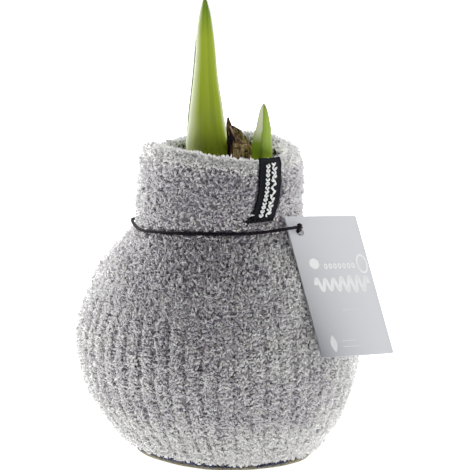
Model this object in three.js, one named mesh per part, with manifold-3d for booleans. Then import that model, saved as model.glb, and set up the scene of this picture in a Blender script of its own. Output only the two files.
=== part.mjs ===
// A forced amaryllis bulb in a ribbed chenille knit cover, with a hang tag on a cord round the
// collar. Millimetres, +Z up. The origin is the centre of the sole's underside. Azimuths are
// counted from +X towards +Y, so the front of the object is at -90 degrees.
import * as THREE from 'three';
import { mergeVertices } from 'three/addons/utils/BufferGeometryUtils.js';
import Module from 'manifold-3d';

const wasm = await Module();
wasm.setup();

// ---- Driving dimensions ----

const GAP = 0.3; // clearance between pieces that touch

// Round sole that the dressed bulb stands on
const SOLE_RADIUS = 37.8;
const SOLE_THICKNESS = 1.5;
const SOLE_EDGE = 0.4;

// Knit cover: [half-width over the rib crests, height] up the body and up the collar
const BODY_OUTLINE = [[37.6, 1.8], [42.8, 7.5], [47.8, 15.5], [53, 26], [56.2, 40], [55.7, 52], [51.7, 64],
  [45.3, 76], [38.5, 85], [33.8, 90.6]];
const COLLAR_OUTLINE = [[32.4, 93.2], [32.5, 98], [32.2, 105], [31.9, 112.5], [31.2, 119.5]];
const BODY_ROWS = 10;
const BODY_WALL = 6.5;
const COLLAR_WALL = 5.5;
const RIM_ROLL = 4.6; // height of the rolled rim above the collar's straight part
const RIM_STEPS = 5;
const RIM_UNDERCUT = 0.2; // the hollow is this much wider than the inside of the roll

// The body leans to the left as it rises from the sole, and the collar leans back a little
const LEAN = -5.4;
const LEAN_RISE = 18;
const COLLAR_LEAN = 1.9;
const COLLAR_LEAN_START = 70;

// The rim waves: highest at the front left, lowest at the front right
const RIM_HIGH_AZIMUTH = -140;
const RIM_TILT = 1;
const RIM_FOLD = 1.7;
const WAVE_START = 97;
const WAVE_END = 117;

// Knit ribs run up body and collar
const RIBS = 56;
const COLUMNS_PER_RIB = 3;
const GROOVE_DEPTH = 1.3; // where the body is widest

// Bulb: it fills the body of the cover and ends in a neck that the shoots come out of
const NECK_OUTLINE = [[25.6, 93.5], [24.3, 99], [23.8, 105], [22.4, 109], [18, 111], [0, 111.6]];
const BULB_SIDES = 32;
const SOCKET_FLOOR = 98;

// Tall shoot: [half-width, height] of a pair of leaves that are still pressed together
const TALL_OUTLINE = [[8.4, SOCKET_FLOOR + GAP], [8.9, 112], [8.7, 122.5], [6.8, 137], [5, 152],
  [3.65, 166.5], [2.3, 176], [0.95, 182.2], [0.35, 184]];
const TALL_DEPTH = 0.56; // half the pair's thickness, as a share of its half-width
const TALL_X = -9.9;
const TALL_FLARE = { reach: 1.9, from: 138, to: 118 }; // its foot spreads to the right
const TALL_Y = 1;
const BACK_LEAF_SHIFT = -0.45; // the leaf behind shows past the left edge of the one in front
const BACK_LEAF_INSET = 0.15;
const LEAF_SIDES = 16;
const LEAF_ROWS = 16;

// Short shoot: one young leaf, folded along a keel
const SHORT_OUTLINE = [[3.9, SOCKET_FLOOR + GAP], [4.2, 112], [4.1, 123], [3.55, 128.3], [2.45, 133.4],
  [1.35, 138.8], [0.3, 142]];
const SHORT_DEPTH = 0.8;
const SHORT_KEEL = 0.22; // how much thinner it is at its edges than along its keel
const SHORT_FOOT = [12, -5];
const SHORT_TIP = [13.4, -9];

// Dry tunic scales that stand round the neck: foot, tip, width, turn of the face and cup
const VISIBLE_SCALES = [
  { foot: [3.4, -1.5, 107], tip: [-0.9, -2.5, 136], width: 8, turn: 12, cup: 1.2 },
  { foot: [5.6, 0.5, 107], tip: [2.6, -0.5, 131.6], width: 13, turn: -12, cup: 1.6 },
  { foot: [7.6, 2.5, 107], tip: [6.4, 0.8, 127.4], width: 12, turn: -32, cup: 1.4 },
];
const RING_SCALES = 11;
const RING_RADIUS = 20.4;
const RING_SCALE_WIDTH = 13;
const RING_SCALE_FOOT = 103;
const RING_SCALE_TOP = 115.5;
const RING_SCALE_SPREAD = 2.6; // the tips differ by as much as this in height
const RING_SCALE_CUP = -1.2;
const SCALE_THICKNESS = 1;

// Woven ribbon label on the right front of the collar
const LABEL_WIDTH = 9.6;
const LABEL_THICKNESS = 0.8;
const LABEL_CLEARANCE = 0.45;
const LABEL_AZIMUTH = -54;
const LABEL_SWING = -6.5; // the foot of the label is turned this much further left
const LABEL_START = 0.15; // stretch of the collar's curve that it covers, as shares of its length
const LABEL_END = 0.93;

// Hang tag: a card held by the cord through a hole near its top left corner
const TAG_WIDTH = 36.7;
const TAG_HEIGHT = 58.8;
const TAG_THICKNESS = 0.6;
const TAG_CORNER = 0.8;
const TAG_HOLE_RADIUS = 2;
const TAG_HOLE_INSET = [5.5, 6.5]; // from the left edge and from the top edge
const TAG_HOLE_PLACE = [27.3, -21.2, 92.8];
const TAG_AZIMUTH = -49.2; // the way its face looks
const TAG_TILT = 30.7; // its face looks up by this much, because its foot leans on the body
const TAG_ROLL = -6.8;

// Cord that lies round the foot of the collar and through the hole of the tag
const CORD_DIAMETER = 1.5;
const CORD_SIDES = 8;
const CORD_STEPS = 72;
const CORD_RING = { radius: 34.6, height: 91.9 }; // at the back and the sides
const CORD_FRONT = { radius: 33.8, height: 94.3 };
const CORD_LEAVES_RING = -68; // azimuth where the front strand leaves for the tag
const CORD_MEETS_RING = -10; // azimuth where the back strand comes back
const CORD_TURNS = 17;
const KNOT_RADIUS = 1.6;

// ---- Helpers ----

const rad = THREE.MathUtils.degToRad;

function material(color, roughness, metalness = 0) {
  return new THREE.MeshStandardMaterial({ color, roughness, metalness });
}

/** Closed geometry to manifold solid. */
function toSolid(geometry) {
  const bare = geometry.clone();
  bare.deleteAttribute('normal');
  bare.deleteAttribute('uv');
  const merged = mergeVertices(bare);
  return new wasm.Manifold(new wasm.Mesh({
    numProp: 3,
    vertProperties: new Float32Array(merged.attributes.position.array),
    triVerts: new Uint32Array(merged.index.array),
  }));
}

/** Manifold solid back to geometry. */
function toGeometry(solid) {
  const mesh = solid.getMesh();
  const geometry = new THREE.BufferGeometry();
  geometry.setAttribute('position', new THREE.BufferAttribute(mesh.vertProperties, 3));
  geometry.setIndex(new THREE.BufferAttribute(mesh.triVerts, 1));
  geometry.computeVertexNormals();
  return geometry;
}

/** Moves every vertex of a geometry to where place(vertex) puts it. */
function reshape(geometry, place) {
  const position = geometry.attributes.position;
  const vertex = new THREE.Vector3();
  for (let i = 0; i < position.count; i += 1) {
    vertex.fromBufferAttribute(position, i);
    const moved = place(vertex);
    position.setXYZ(i, moved.x, moved.y, moved.z);
  }
  geometry.computeVertexNormals();
  return geometry;
}

/** Body of revolution about Z from an outline of [radius, height] points. */
function revolve(outline, segments) {
  const points = outline.map(([radius, height]) => new THREE.Vector2(radius, height));
  return new THREE.LatheGeometry(points, segments).rotateX(Math.PI / 2);
}

function splinePoints(outline, count) {
  const curve = new THREE.SplineCurve(outline.map(([radius, height]) => new THREE.Vector2(radius, height)));
  return curve.getPoints(count).map((point) => [point.x, point.y]);
}

/** How far the axis of the bulb and its cover stands from the origin at a height. */
function axisX(height) {
  const back = COLLAR_LEAN * THREE.MathUtils.smoothstep(height, COLLAR_LEAN_START, WAVE_END);
  return LEAN * (1 - Math.exp(-Math.max(height, 0) / LEAN_RISE)) + back;
}

/** How much the wave of the rim lifts the knit at a height and an azimuth in radians. */
function rimLift(height, azimuth) {
  const turn = azimuth - rad(RIM_HIGH_AZIMUTH);
  const wave = RIM_TILT * Math.cos(turn) + RIM_FOLD * Math.cos(2 * turn);
  return wave * THREE.MathUtils.smoothstep(height, WAVE_START, WAVE_END);
}

/** Point of the knit at a radius, height and azimuth, on the leaning axis and the waved rim. */
function onKnit(radius, height, azimuth) {
  return new THREE.Vector3(
    axisX(height) + radius * Math.cos(azimuth),
    radius * Math.sin(azimuth),
    height + rimLift(height, azimuth),
  );
}

/** Half-width at a height from a dense outline whose heights rise. */
function widthAt(outline, height) {
  const next = outline.findIndex(([, level]) => level >= height);
  const upper = next < 0 ? outline.length - 1 : Math.max(next, 1);
  const [lowWidth, low] = outline[upper - 1];
  const [highWidth, high] = outline[upper];
  const share = THREE.MathUtils.clamp((height - low) / (high - low), 0, 1);
  return THREE.MathUtils.lerp(lowWidth, highWidth, share);
}

/** Upright solid from a unit disc that rises: place(vertex, share of the height) moves each vertex. */
function stalk(sides, rows, place) {
  const disc = new THREE.CylinderGeometry(1, 1, 1, sides, rows).rotateX(Math.PI / 2);
  return toSolid(reshape(disc, (vertex) => place(vertex, vertex.z + 0.5)));
}

// ---- Sole ----

function makeSole() {
  const outline = [[0, 0], [SOLE_RADIUS - SOLE_EDGE, 0], [SOLE_RADIUS, SOLE_EDGE],
    [SOLE_RADIUS, SOLE_THICKNESS - SOLE_EDGE], [SOLE_RADIUS - SOLE_EDGE, SOLE_THICKNESS],
    [0, SOLE_THICKNESS]];
  return revolve(outline, 56);
}

// ---- Knit cover ----

const bodyOutline = splinePoints(BODY_OUTLINE, BODY_ROWS);
const collarTop = COLLAR_OUTLINE.at(-1);

/** Rolled rim: half an ellipse from the outside of the collar over to its inside. */
const rimOutline = Array.from({ length: RIM_STEPS }, (_, i) => {
  const angle = (Math.PI * (i + 1)) / RIM_STEPS;
  const half = COLLAR_WALL / 2;
  return [collarTop[0] - half + half * Math.cos(angle), collarTop[1] + RIM_ROLL * Math.sin(angle)];
});

function makeCover() {
  const foot = BODY_OUTLINE[0][1];
  const outside = [[0, foot], ...bodyOutline, ...COLLAR_OUTLINE, ...rimOutline, [0, collarTop[1]]];
  const widest = Math.max(...bodyOutline.map(([radius]) => radius));
  const ribbed = reshape(revolve(outside, RIBS * COLUMNS_PER_RIB), ({ x, y, z }) => {
    const radius = Math.hypot(x, y);
    const azimuth = Math.atan2(y, x);
    const groove = ((1 + Math.cos(RIBS * azimuth)) / 2) ** 3;
    return onKnit(radius - GROOVE_DEPTH * groove * (radius / widest), z, azimuth);
  });
  const collarInside = collarTop[0] - COLLAR_WALL + RIM_UNDERCUT;
  const mouth = collarTop[1] + 2 * RIM_ROLL;
  const inside = [
    [0, foot - 1],
    [bodyOutline[0][0] - BODY_WALL, foot - 1],
    ...bodyOutline.map(([radius, height]) => [radius - BODY_WALL, height]),
    [COLLAR_OUTLINE[0][0] - COLLAR_WALL, COLLAR_OUTLINE[0][1]],
    [collarInside, COLLAR_OUTLINE[1][1]],
    [collarInside, mouth],
    [0, mouth],
  ];
  const hollow = reshape(revolve(inside, BULB_SIDES), ({ x, y, z }) => {
    return new THREE.Vector3(x + axisX(z), y, z);
  });
  return toGeometry(toSolid(ribbed).subtract(toSolid(hollow)));
}

// ---- Shoots ----

const tallOutline = splinePoints(TALL_OUTLINE, 40);
const shortOutline = splinePoints(SHORT_OUTLINE, 30);

function tallCentre(height) {
  const closed = THREE.MathUtils.smoothstep(height, TALL_FLARE.to, TALL_FLARE.from);
  return TALL_X + TALL_FLARE.reach * (1 - closed);
}

/** One half of the tall pair; side is -1 for the leaf in front and 1 for the one behind. */
function makeTallLeaf(side, shift) {
  const [low, high] = [TALL_OUTLINE[0][1], TALL_OUTLINE.at(-1)[1]];
  return stalk(LEAF_SIDES, LEAF_ROWS, (vertex, share) => {
    const height = THREE.MathUtils.lerp(low, high, share);
    const half = widthAt(tallOutline, height) - (side > 0 ? BACK_LEAF_INSET : 0);
    const outward = Math.max(0, vertex.y * side) * half * TALL_DEPTH;
    const bow = shift * Math.sin(Math.PI * share);
    return new THREE.Vector3(tallCentre(height) + bow + vertex.x * half,
      TALL_Y + side * (GAP / 2 + outward), height);
  });
}

/** Everything within reach of the tall pair, for the hole that it stands in. */
function tallSocket() {
  const [low, high] = [TALL_OUTLINE[0][1] - GAP, TALL_OUTLINE.at(-1)[1]];
  return stalk(32, LEAF_ROWS, (vertex, share) => {
    const height = THREE.MathUtils.lerp(low, high, share);
    const half = widthAt(tallOutline, height) + 2 * GAP;
    return new THREE.Vector3(tallCentre(height) + BACK_LEAF_SHIFT / 2 + vertex.x * (half + GAP),
      TALL_Y + vertex.y * (half * TALL_DEPTH + GAP), height);
  });
}

/** The folded young leaf, or with a clearance the hole that it stands in. */
function shortLeaf(clearance) {
  const [low, high] = [SHORT_OUTLINE[0][1] - clearance, SHORT_OUTLINE.at(-1)[1]];
  return stalk(LEAF_SIDES, 12, (vertex, share) => {
    const height = THREE.MathUtils.lerp(low, high, share);
    const half = widthAt(shortOutline, height) + clearance;
    const keel = 1 - SHORT_KEEL * Math.abs(vertex.x);
    const x = THREE.MathUtils.lerp(SHORT_FOOT[0], SHORT_TIP[0], share);
    const y = THREE.MathUtils.lerp(SHORT_FOOT[1], SHORT_TIP[1], share);
    return new THREE.Vector3(x + vertex.x * half, y + vertex.y * half * SHORT_DEPTH * keel, height);
  });
}

// ---- Bulb ----

/** A pointed papery scale from its foot to its tip, cupped across its width. */
function tunicScale({ foot, tip, width, turn, cup }) {
  const [start, end] = [new THREE.Vector3(...foot), new THREE.Vector3(...tip)];
  const facing = rad(turn);
  return stalk(8, 5, (vertex, share) => {
    const taper = Math.max(0.06, (1 - share ** 1.7) ** 0.8);
    const across = vertex.x * (width / 2) * taper;
    const deep = vertex.y * (SCALE_THICKNESS / 2) * (1 - 0.35 * share) + cup * vertex.x ** 2 * taper;
    const centre = start.clone().lerp(end, share);
    return new THREE.Vector3(
      centre.x + across * Math.cos(facing) - deep * Math.sin(facing),
      centre.y + across * Math.sin(facing) + deep * Math.cos(facing),
      centre.z,
    );
  });
}

/** Broken scale ends in a ring round the top of the neck. */
function ringScale(index) {
  const azimuth = (2 * Math.PI * (index + 0.3 * (index % 2))) / RING_SCALES;
  const top = RING_SCALE_TOP + RING_SCALE_SPREAD * Math.sin(2.4 * index);
  const centreX = axisX(top);
  const [sin, cos] = [Math.sin(azimuth), Math.cos(azimuth)];
  return tunicScale({
    foot: [centreX + RING_RADIUS * cos, RING_RADIUS * sin, RING_SCALE_FOOT],
    tip: [centreX + (RING_RADIUS + 0.8) * cos, (RING_RADIUS + 0.8) * sin, top],
    width: RING_SCALE_WIDTH,
    turn: THREE.MathUtils.radToDeg(azimuth) - 90,
    cup: RING_SCALE_CUP,
  });
}

function makeBulb() {
  const inset = BODY_WALL + GAP;
  const outline = [
    [0, bodyOutline[0][1]],
    ...bodyOutline.map(([radius, height]) => [radius - inset, height]),
    ...NECK_OUTLINE,
  ];
  let bulb = toSolid(reshape(revolve(outline, BULB_SIDES), ({ x, y, z }) => {
    return new THREE.Vector3(x + axisX(z), y, z);
  }));
  for (let index = 0; index < RING_SCALES; index += 1) {
    bulb = bulb.add(ringScale(index));
  }
  for (const scale of VISIBLE_SCALES) {
    bulb = bulb.add(tunicScale(scale));
  }
  return toGeometry(bulb.subtract(tallSocket()).subtract(shortLeaf(GAP)));
}

// ---- Woven label ----

/** The ribbon follows the collar's outside and bends over its rolled rim. */
function makeLabel() {
  const outline = [...COLLAR_OUTLINE, ...rimOutline.slice(0, 3)];
  const side = new THREE.SplineCurve(outline.map(([radius, height]) => new THREE.Vector2(radius, height)));
  const ribbon = new THREE.BoxGeometry(1, 1, 1, 4, 12, 1);
  return reshape(ribbon, ({ x, y, z }) => {
    const along = THREE.MathUtils.lerp(LABEL_START, LABEL_END, y + 0.5);
    const point = side.getPointAt(along);
    const tangent = side.getTangentAt(along);
    const lift = LABEL_CLEARANCE + (z + 0.5) * LABEL_THICKNESS;
    const radius = point.x + tangent.y * lift;
    const height = point.y - tangent.x * lift;
    const azimuth = rad(LABEL_AZIMUTH + LABEL_SWING * (0.5 - y) ** 3) + (x * LABEL_WIDTH) / radius;
    return onKnit(radius, height, azimuth);
  });
}

// ---- Hang tag ----

const tagTurn = new THREE.Euler(rad(90 - TAG_TILT), 0, rad(TAG_ROLL));
const tagAxes = new THREE.Matrix4().makeRotationZ(rad(TAG_AZIMUTH + 90))
  .multiply(new THREE.Matrix4().makeRotationFromEuler(tagTurn));

/** Point given along the card (right, up and out of its face) from the centre of its hole. */
function fromTagHole(right, up, out) {
  return new THREE.Vector3(right, up, out).applyMatrix4(tagAxes).add(new THREE.Vector3(...TAG_HOLE_PLACE));
}

function makeTag() {
  const [left, top] = [-TAG_HOLE_INSET[0], TAG_HOLE_INSET[1]];
  const [right, bottom] = [left + TAG_WIDTH, top - TAG_HEIGHT];
  const card = new THREE.Shape();
  card.moveTo(left + TAG_CORNER, bottom);
  card.absarc(right - TAG_CORNER, bottom + TAG_CORNER, TAG_CORNER, rad(-90), 0);
  card.absarc(right - TAG_CORNER, top - TAG_CORNER, TAG_CORNER, 0, rad(90));
  card.absarc(left + TAG_CORNER, top - TAG_CORNER, TAG_CORNER, rad(90), rad(180));
  card.absarc(left + TAG_CORNER, bottom + TAG_CORNER, TAG_CORNER, rad(180), rad(270));
  card.holes.push(new THREE.Path().absarc(0, 0, TAG_HOLE_RADIUS, 0, 2 * Math.PI));
  return new THREE.ExtrudeGeometry(card, { depth: TAG_THICKNESS, bevelEnabled: false, curveSegments: 6 })
    .translate(0, 0, -TAG_THICKNESS / 2);
}

// ---- Cord ----

/** From the knot through the hole, round behind the collar, along its front and back to the knot. */
function makeCord() {
  const clear = TAG_THICKNESS / 2 + CORD_DIAMETER / 2 + GAP;
  const knot = fromTagHole(0.2, 1.6, TAG_THICKNESS / 2 + KNOT_RADIUS + GAP);
  const route = [knot, fromTagHole(0.1, 0.3, 1.2), fromTagHole(0, 0, 0), fromTagHole(0.4, -0.2, -1.3)];
  const sweep = 360 + CORD_LEAVES_RING - CORD_MEETS_RING;
  for (let turn = 0; turn <= CORD_TURNS; turn += 1) {
    const azimuth = rad(CORD_MEETS_RING + (sweep * turn) / CORD_TURNS);
    const towardsFront = Math.max(0, -Math.sin(azimuth)) ** 1.5;
    const radius = THREE.MathUtils.lerp(CORD_RING.radius, CORD_FRONT.radius, towardsFront);
    const height = THREE.MathUtils.lerp(CORD_RING.height, CORD_FRONT.height, towardsFront);
    route.push(onKnit(radius, height, azimuth));
  }
  route.push(fromTagHole(-TAG_HOLE_INSET[0] - 0.3, 0.9, clear + 0.2), knot);
  const section = new THREE.Shape().absarc(0, 0, CORD_DIAMETER / 2, 0, 2 * Math.PI);
  const strand = new THREE.ExtrudeGeometry(section, {
    steps: CORD_STEPS,
    curveSegments: CORD_SIDES / 2,
    bevelEnabled: false,
    extrudePath: new THREE.CatmullRomCurve3(route, false, 'centripetal'),
  });
  const lump = new THREE.SphereGeometry(KNOT_RADIUS, 10, 6);
  lump.applyMatrix4(tagAxes).translate(knot.x, knot.y, knot.z);
  return toGeometry(toSolid(strand).add(toSolid(lump)));
}

// ---- Assembly ----

const group = new THREE.Group();

function addPart(name, geometry, finish, parent = group) {
  const mesh = new THREE.Mesh(geometry, finish);
  mesh.name = name;
  parent.add(mesh);
  return mesh;
}

addPart('sole', makeSole(), material(0x77705f, 0.85));
addPart('knit_cover', makeCover(), material(0xa7a4a6, 0.95));
addPart('bulb', makeBulb(), material(0x8a5a32, 0.75));
addPart('tall_leaf_front', toGeometry(makeTallLeaf(-1, 0)), material(0x86a62b, 0.4));
addPart('tall_leaf_back', toGeometry(makeTallLeaf(1, BACK_LEAF_SHIFT)), material(0x6d8c26, 0.4));
addPart('short_leaf', toGeometry(shortLeaf(0)), material(0x7fa030, 0.4));
addPart('woven_label', makeLabel(), material(0x17181c, 0.7));
addPart('neck_cord', makeCord(), material(0x241a26, 0.6));

const tagHanger = new THREE.Group();
tagHanger.position.set(...TAG_HOLE_PLACE);
tagHanger.rotation.z = rad(TAG_AZIMUTH + 90);
group.add(tagHanger);
addPart('hang_tag', makeTag(), material(0xc5c7cb, 0.5), tagHanger).rotation.copy(tagTurn);

export default group;
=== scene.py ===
import math

import bpy
import numpy as np
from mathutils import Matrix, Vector


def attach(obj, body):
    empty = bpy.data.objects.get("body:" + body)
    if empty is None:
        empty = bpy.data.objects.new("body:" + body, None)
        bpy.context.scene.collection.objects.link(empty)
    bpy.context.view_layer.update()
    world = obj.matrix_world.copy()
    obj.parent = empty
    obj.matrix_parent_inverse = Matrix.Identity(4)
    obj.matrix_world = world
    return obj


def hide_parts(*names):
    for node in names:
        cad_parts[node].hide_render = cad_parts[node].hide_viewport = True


# Looks of an amaryllis bulb in a knit cover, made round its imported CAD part. Shapes are worked out in
# millimetres, with +Z up and the front at -Y, and turned into metres where a mesh is made. Azimuths run
# from +X towards +Y, so the front is at -90 degrees.

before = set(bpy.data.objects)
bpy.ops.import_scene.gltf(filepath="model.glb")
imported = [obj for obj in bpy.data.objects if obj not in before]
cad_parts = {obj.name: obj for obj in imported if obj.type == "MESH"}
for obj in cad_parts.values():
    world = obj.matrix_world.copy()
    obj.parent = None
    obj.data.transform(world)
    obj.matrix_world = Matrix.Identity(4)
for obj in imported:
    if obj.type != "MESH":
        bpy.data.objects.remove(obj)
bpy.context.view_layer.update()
MM = 0.001

# ---- Dimensions of the CAD part ----

GAP = 0.3
SOLE_RADIUS, SOLE_THICKNESS = 37.8, 1.5
BODY_OUTLINE = [(37.6, 1.8), (42.8, 7.5), (47.8, 15.5), (53, 26), (56.2, 40), (55.7, 52), (51.7, 64),
                (45.3, 76), (38.5, 85), (33.8, 90.6)]
COLLAR_OUTLINE = [(32.4, 93.2), (32.5, 98), (32.2, 105), (31.9, 112.5), (31.2, 119.5)]
BODY_WALL, COLLAR_WALL = 6.5, 5.5
RIM_ROLL = 4.6
LEAN, LEAN_RISE = -5.4, 18
COLLAR_LEAN, COLLAR_LEAN_START = 1.9, 70
RIM_HIGH_AZIMUTH, RIM_TILT, RIM_FOLD = -140, 1, 1.7
WAVE_START, WAVE_END = 97, 117
RIBS = 56
NECK_OUTLINE = [(25.6, 93.5), (24.3, 99), (23.8, 105), (22.4, 109)]  # up to its crown
LABEL_THICKNESS, LABEL_CLEARANCE = 0.8, 0.45
LABEL_AZIMUTH, LABEL_SWING = -54, -6.5
LABEL_START, LABEL_END = 0.15, 0.93
TAG_WIDTH, TAG_HEIGHT, TAG_THICKNESS = 36.7, 58.8, 0.6
TAG_HOLE_INSET = (5.5, 6.5)
TAG_HOLE_PLACE = (27.3, -21.2, 92.8)
TAG_AZIMUTH, TAG_TILT, TAG_ROLL = -49.2, 30.7, -6.8
CORD_DIAMETER = 1.5
CORD_RING, CORD_FRONT = (34.6, 91.9), (33.8, 94.3)
CORD_LEAVES_RING, CORD_MEETS_RING, CORD_TURNS = -68, -10, 17
KNOT_RADIUS = 1.6

# ---- Small tools ----


def smoothstep(x, low, high):
    t = np.clip((np.asarray(x, float) - low) / (high - low), 0, 1)
    return t * t * (3 - 2 * t)


def hump(x, middle, reach):
    """1 at the middle, and falling off smoothly on both sides of it."""
    return np.exp(-(((x - middle) / reach) ** 2))


def wrap(degrees):
    """The same angles between -180 and 180 degrees."""
    return (degrees + 180) % 360 - 180


def facing(azimuth, direction, start, full=1):
    """From 0 to 1 as azimuths in radians near a direction in degrees, between two cosines of what is left."""
    return smoothstep(np.cos(azimuth - math.radians(direction)), start, full)


def circle(count):
    """Angles of points spaced evenly round a circle."""
    return np.arange(count) * 2 * math.pi / count


def stacked(*coordinates):
    """Points from their coordinates, each of which may be a number, a row or a grid."""
    return np.stack(np.broadcast_arrays(*coordinates), -1)


def unit(v):
    return v / np.maximum(np.linalg.norm(v, axis=-1, keepdims=True), 1e-9)


def curve_windows(points, before, after, count):
    """The four points round each of count places on a curve, and the place's share of the way between the
    middle two. before and after are the points beyond its ends."""
    p = np.vstack([before, points, after])
    at = np.linspace(0, len(points) - 1, count)
    i = np.minimum(at.astype(int), len(points) - 2)
    return p[i], p[i + 1], p[i + 2], p[i + 3], (at - i)[:, None]


def spline(points, count):
    """Points along the Catmull-Rom curve through some points, evenly spaced in its own parameter."""
    a, b, c, d, t = curve_windows(points, points[0], points[-1], count)
    return 0.5 * (2 * b + (c - a) * t + (2 * a - 5 * b + 4 * c - d) * t**2 + (3 * b - a - 3 * c + d) * t**3)


def centripetal(points, count):
    """Centripetal Catmull-Rom curve through points, as the CAD part's cord follows it."""
    a, b, c, d, t = curve_windows(points, 2 * points[0] - points[1], 2 * points[-1] - points[-2], count)
    ab, bc, cd = (np.sqrt(np.linalg.norm(v, axis=1))[:, None] for v in (b - a, c - b, d - c))
    leave = ((b - a) / ab - (c - a) / (ab + bc) + (c - b) / bc) * bc
    meet = ((c - b) / bc - (d - b) / (bc + cd) + (d - c) / cd) * bc
    return b + leave * t + (3 * (c - b) - 2 * leave - meet) * t**2 + (2 * (b - c) + leave + meet) * t**3


def length_along(points):
    return np.concatenate([[0], np.cumsum(np.linalg.norm(np.diff(points, axis=0), axis=1))])


def at_shares(points, shares):
    """Points of a line at shares of its length."""
    along = length_along(points)
    places = np.asarray(shares) * along[-1]
    return np.stack([np.interp(places, along, points[:, k]) for k in range(points.shape[1])], -1)


def lattice_noise(places, seed):
    """Smooth noise from -1 to 1 at places given as (..., 3), one cell per unit."""
    table = np.random.default_rng(seed).uniform(-1, 1, (32, 32, 32))
    cell = np.floor(places).astype(int)
    f = places - cell
    f = f * f * (3 - 2 * f)
    total = 0
    for corner in range(8):
        step = np.array([corner & 1, corner >> 1 & 1, corner >> 2 & 1])
        weight = np.prod(np.where(step, f, 1 - f), -1)
        i, j, k = np.moveaxis((cell + step) % 32, -1, 0)
        total = total + weight * table[i, j, k]
    return total


def grid_faces(rows, columns):
    """Triangles of a grid of points whose last column joins its first."""
    r, c = np.meshgrid(np.arange(rows - 1), np.arange(columns), indexing="ij")
    n = (c + 1) % columns
    quads = np.stack([r * columns + c, r * columns + n, (r + 1) * columns + n, (r + 1) * columns + c], -1)
    quads = quads.reshape(-1, 4)
    return np.concatenate([quads[:, [0, 1, 2]], quads[:, [0, 2, 3]]])


def loft(sections):
    """Closed solid through rings of points, given as (rows, sides, 3), counter-clockwise seen from above."""
    rows, sides = sections.shape[:2]
    points = np.vstack([sections.reshape(-1, 3), sections[0].mean(0), sections[-1].mean(0)])
    ring = np.arange(sides)
    after = (ring + 1) % sides
    low = np.stack([np.full(sides, rows * sides), after, ring], -1)
    last = (rows - 1) * sides
    high = np.stack([np.full(sides, rows * sides + 1), last + ring, last + after], -1)
    return points, np.concatenate([grid_faces(rows, sides), low, high])


def frames_along(path):
    """Two directions across a path at each of its points, turned as little as possible."""
    tangent = unit(np.gradient(path, axis=0))
    start = np.cross(tangent[0], (0, 0, 1) if abs(tangent[0][2]) < 0.9 else (1, 0, 0))
    across = [start / np.linalg.norm(start)]
    for t in tangent[1:]:
        a = across[-1] - t * (across[-1] @ t)
        across.append(a / np.linalg.norm(a))
    across = np.array(across)
    return across, np.cross(tangent, across)


def tube(path, radius, sides=6):
    """Closed round tube along a path; radius is one number or one per point."""
    across, up = frames_along(path)
    angle = circle(sides)[:, None]
    size = np.broadcast_to(np.asarray(radius, float), len(path))[:, None, None]
    return loft(path[:, None] + size * (across[:, None] * np.cos(angle) + up[:, None] * np.sin(angle)))


def join(shapes):
    """Several (points, triangles) as one."""
    points, triangles, count = [], [], 0
    for p, t in shapes:
        points.append(p)
        triangles.append(t + count)
        count += len(p)
    return np.vstack(points), np.concatenate(triangles)


def add_object(name, data):
    made = bpy.data.objects.new(name, data)
    bpy.context.scene.collection.objects.link(made)
    return made


def make_piece(name, shape, materials, replaces=(), which=None, smooth=True):
    """Mesh piece from (points in millimetres, triangles). which gives each triangle's material."""
    points, triangles = shape
    mesh = bpy.data.meshes.new(name)
    mesh.vertices.add(len(points))
    mesh.vertices.foreach_set("co", (points * MM).astype(np.float32).ravel())
    mesh.loops.add(triangles.size)
    mesh.loops.foreach_set("vertex_index", triangles.astype(np.int32).ravel())
    mesh.polygons.add(len(triangles))
    mesh.polygons.foreach_set("loop_start", np.arange(0, triangles.size, 3, dtype=np.int32))
    mesh.polygons.foreach_set("use_smooth", np.full(len(triangles), smooth))
    if which is not None:
        mesh.polygons.foreach_set("material_index", np.asarray(which, np.int32))
    for m in materials:
        mesh.materials.append(m)
    mesh.update(calc_edges=True)
    mesh.validate()
    piece = add_object(name, mesh)
    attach(piece, "root")
    if replaces:
        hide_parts(*replaces)
    return piece


def corner_vertices(mesh):
    """Number of the vertex at each corner of each face."""
    index = np.empty(len(mesh.loops), np.int32)
    mesh.loops.foreach_get("vertex_index", index)
    return index


def set_uv(mesh, u, v):
    mesh.uv_layers.new(name="UVMap").data.foreach_set("uv", np.stack([u, v], -1).astype(np.float32).ravel())


# ---- Materials ----


def srgb(r, g, b):
    """Linear colour from one read off a screen, 0 to 255."""
    return tuple((c / 3294.6 if c <= 10.31 else ((c / 255 + 0.055) / 1.055) ** 2.4) for c in (r, g, b)) + (1,)


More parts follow.
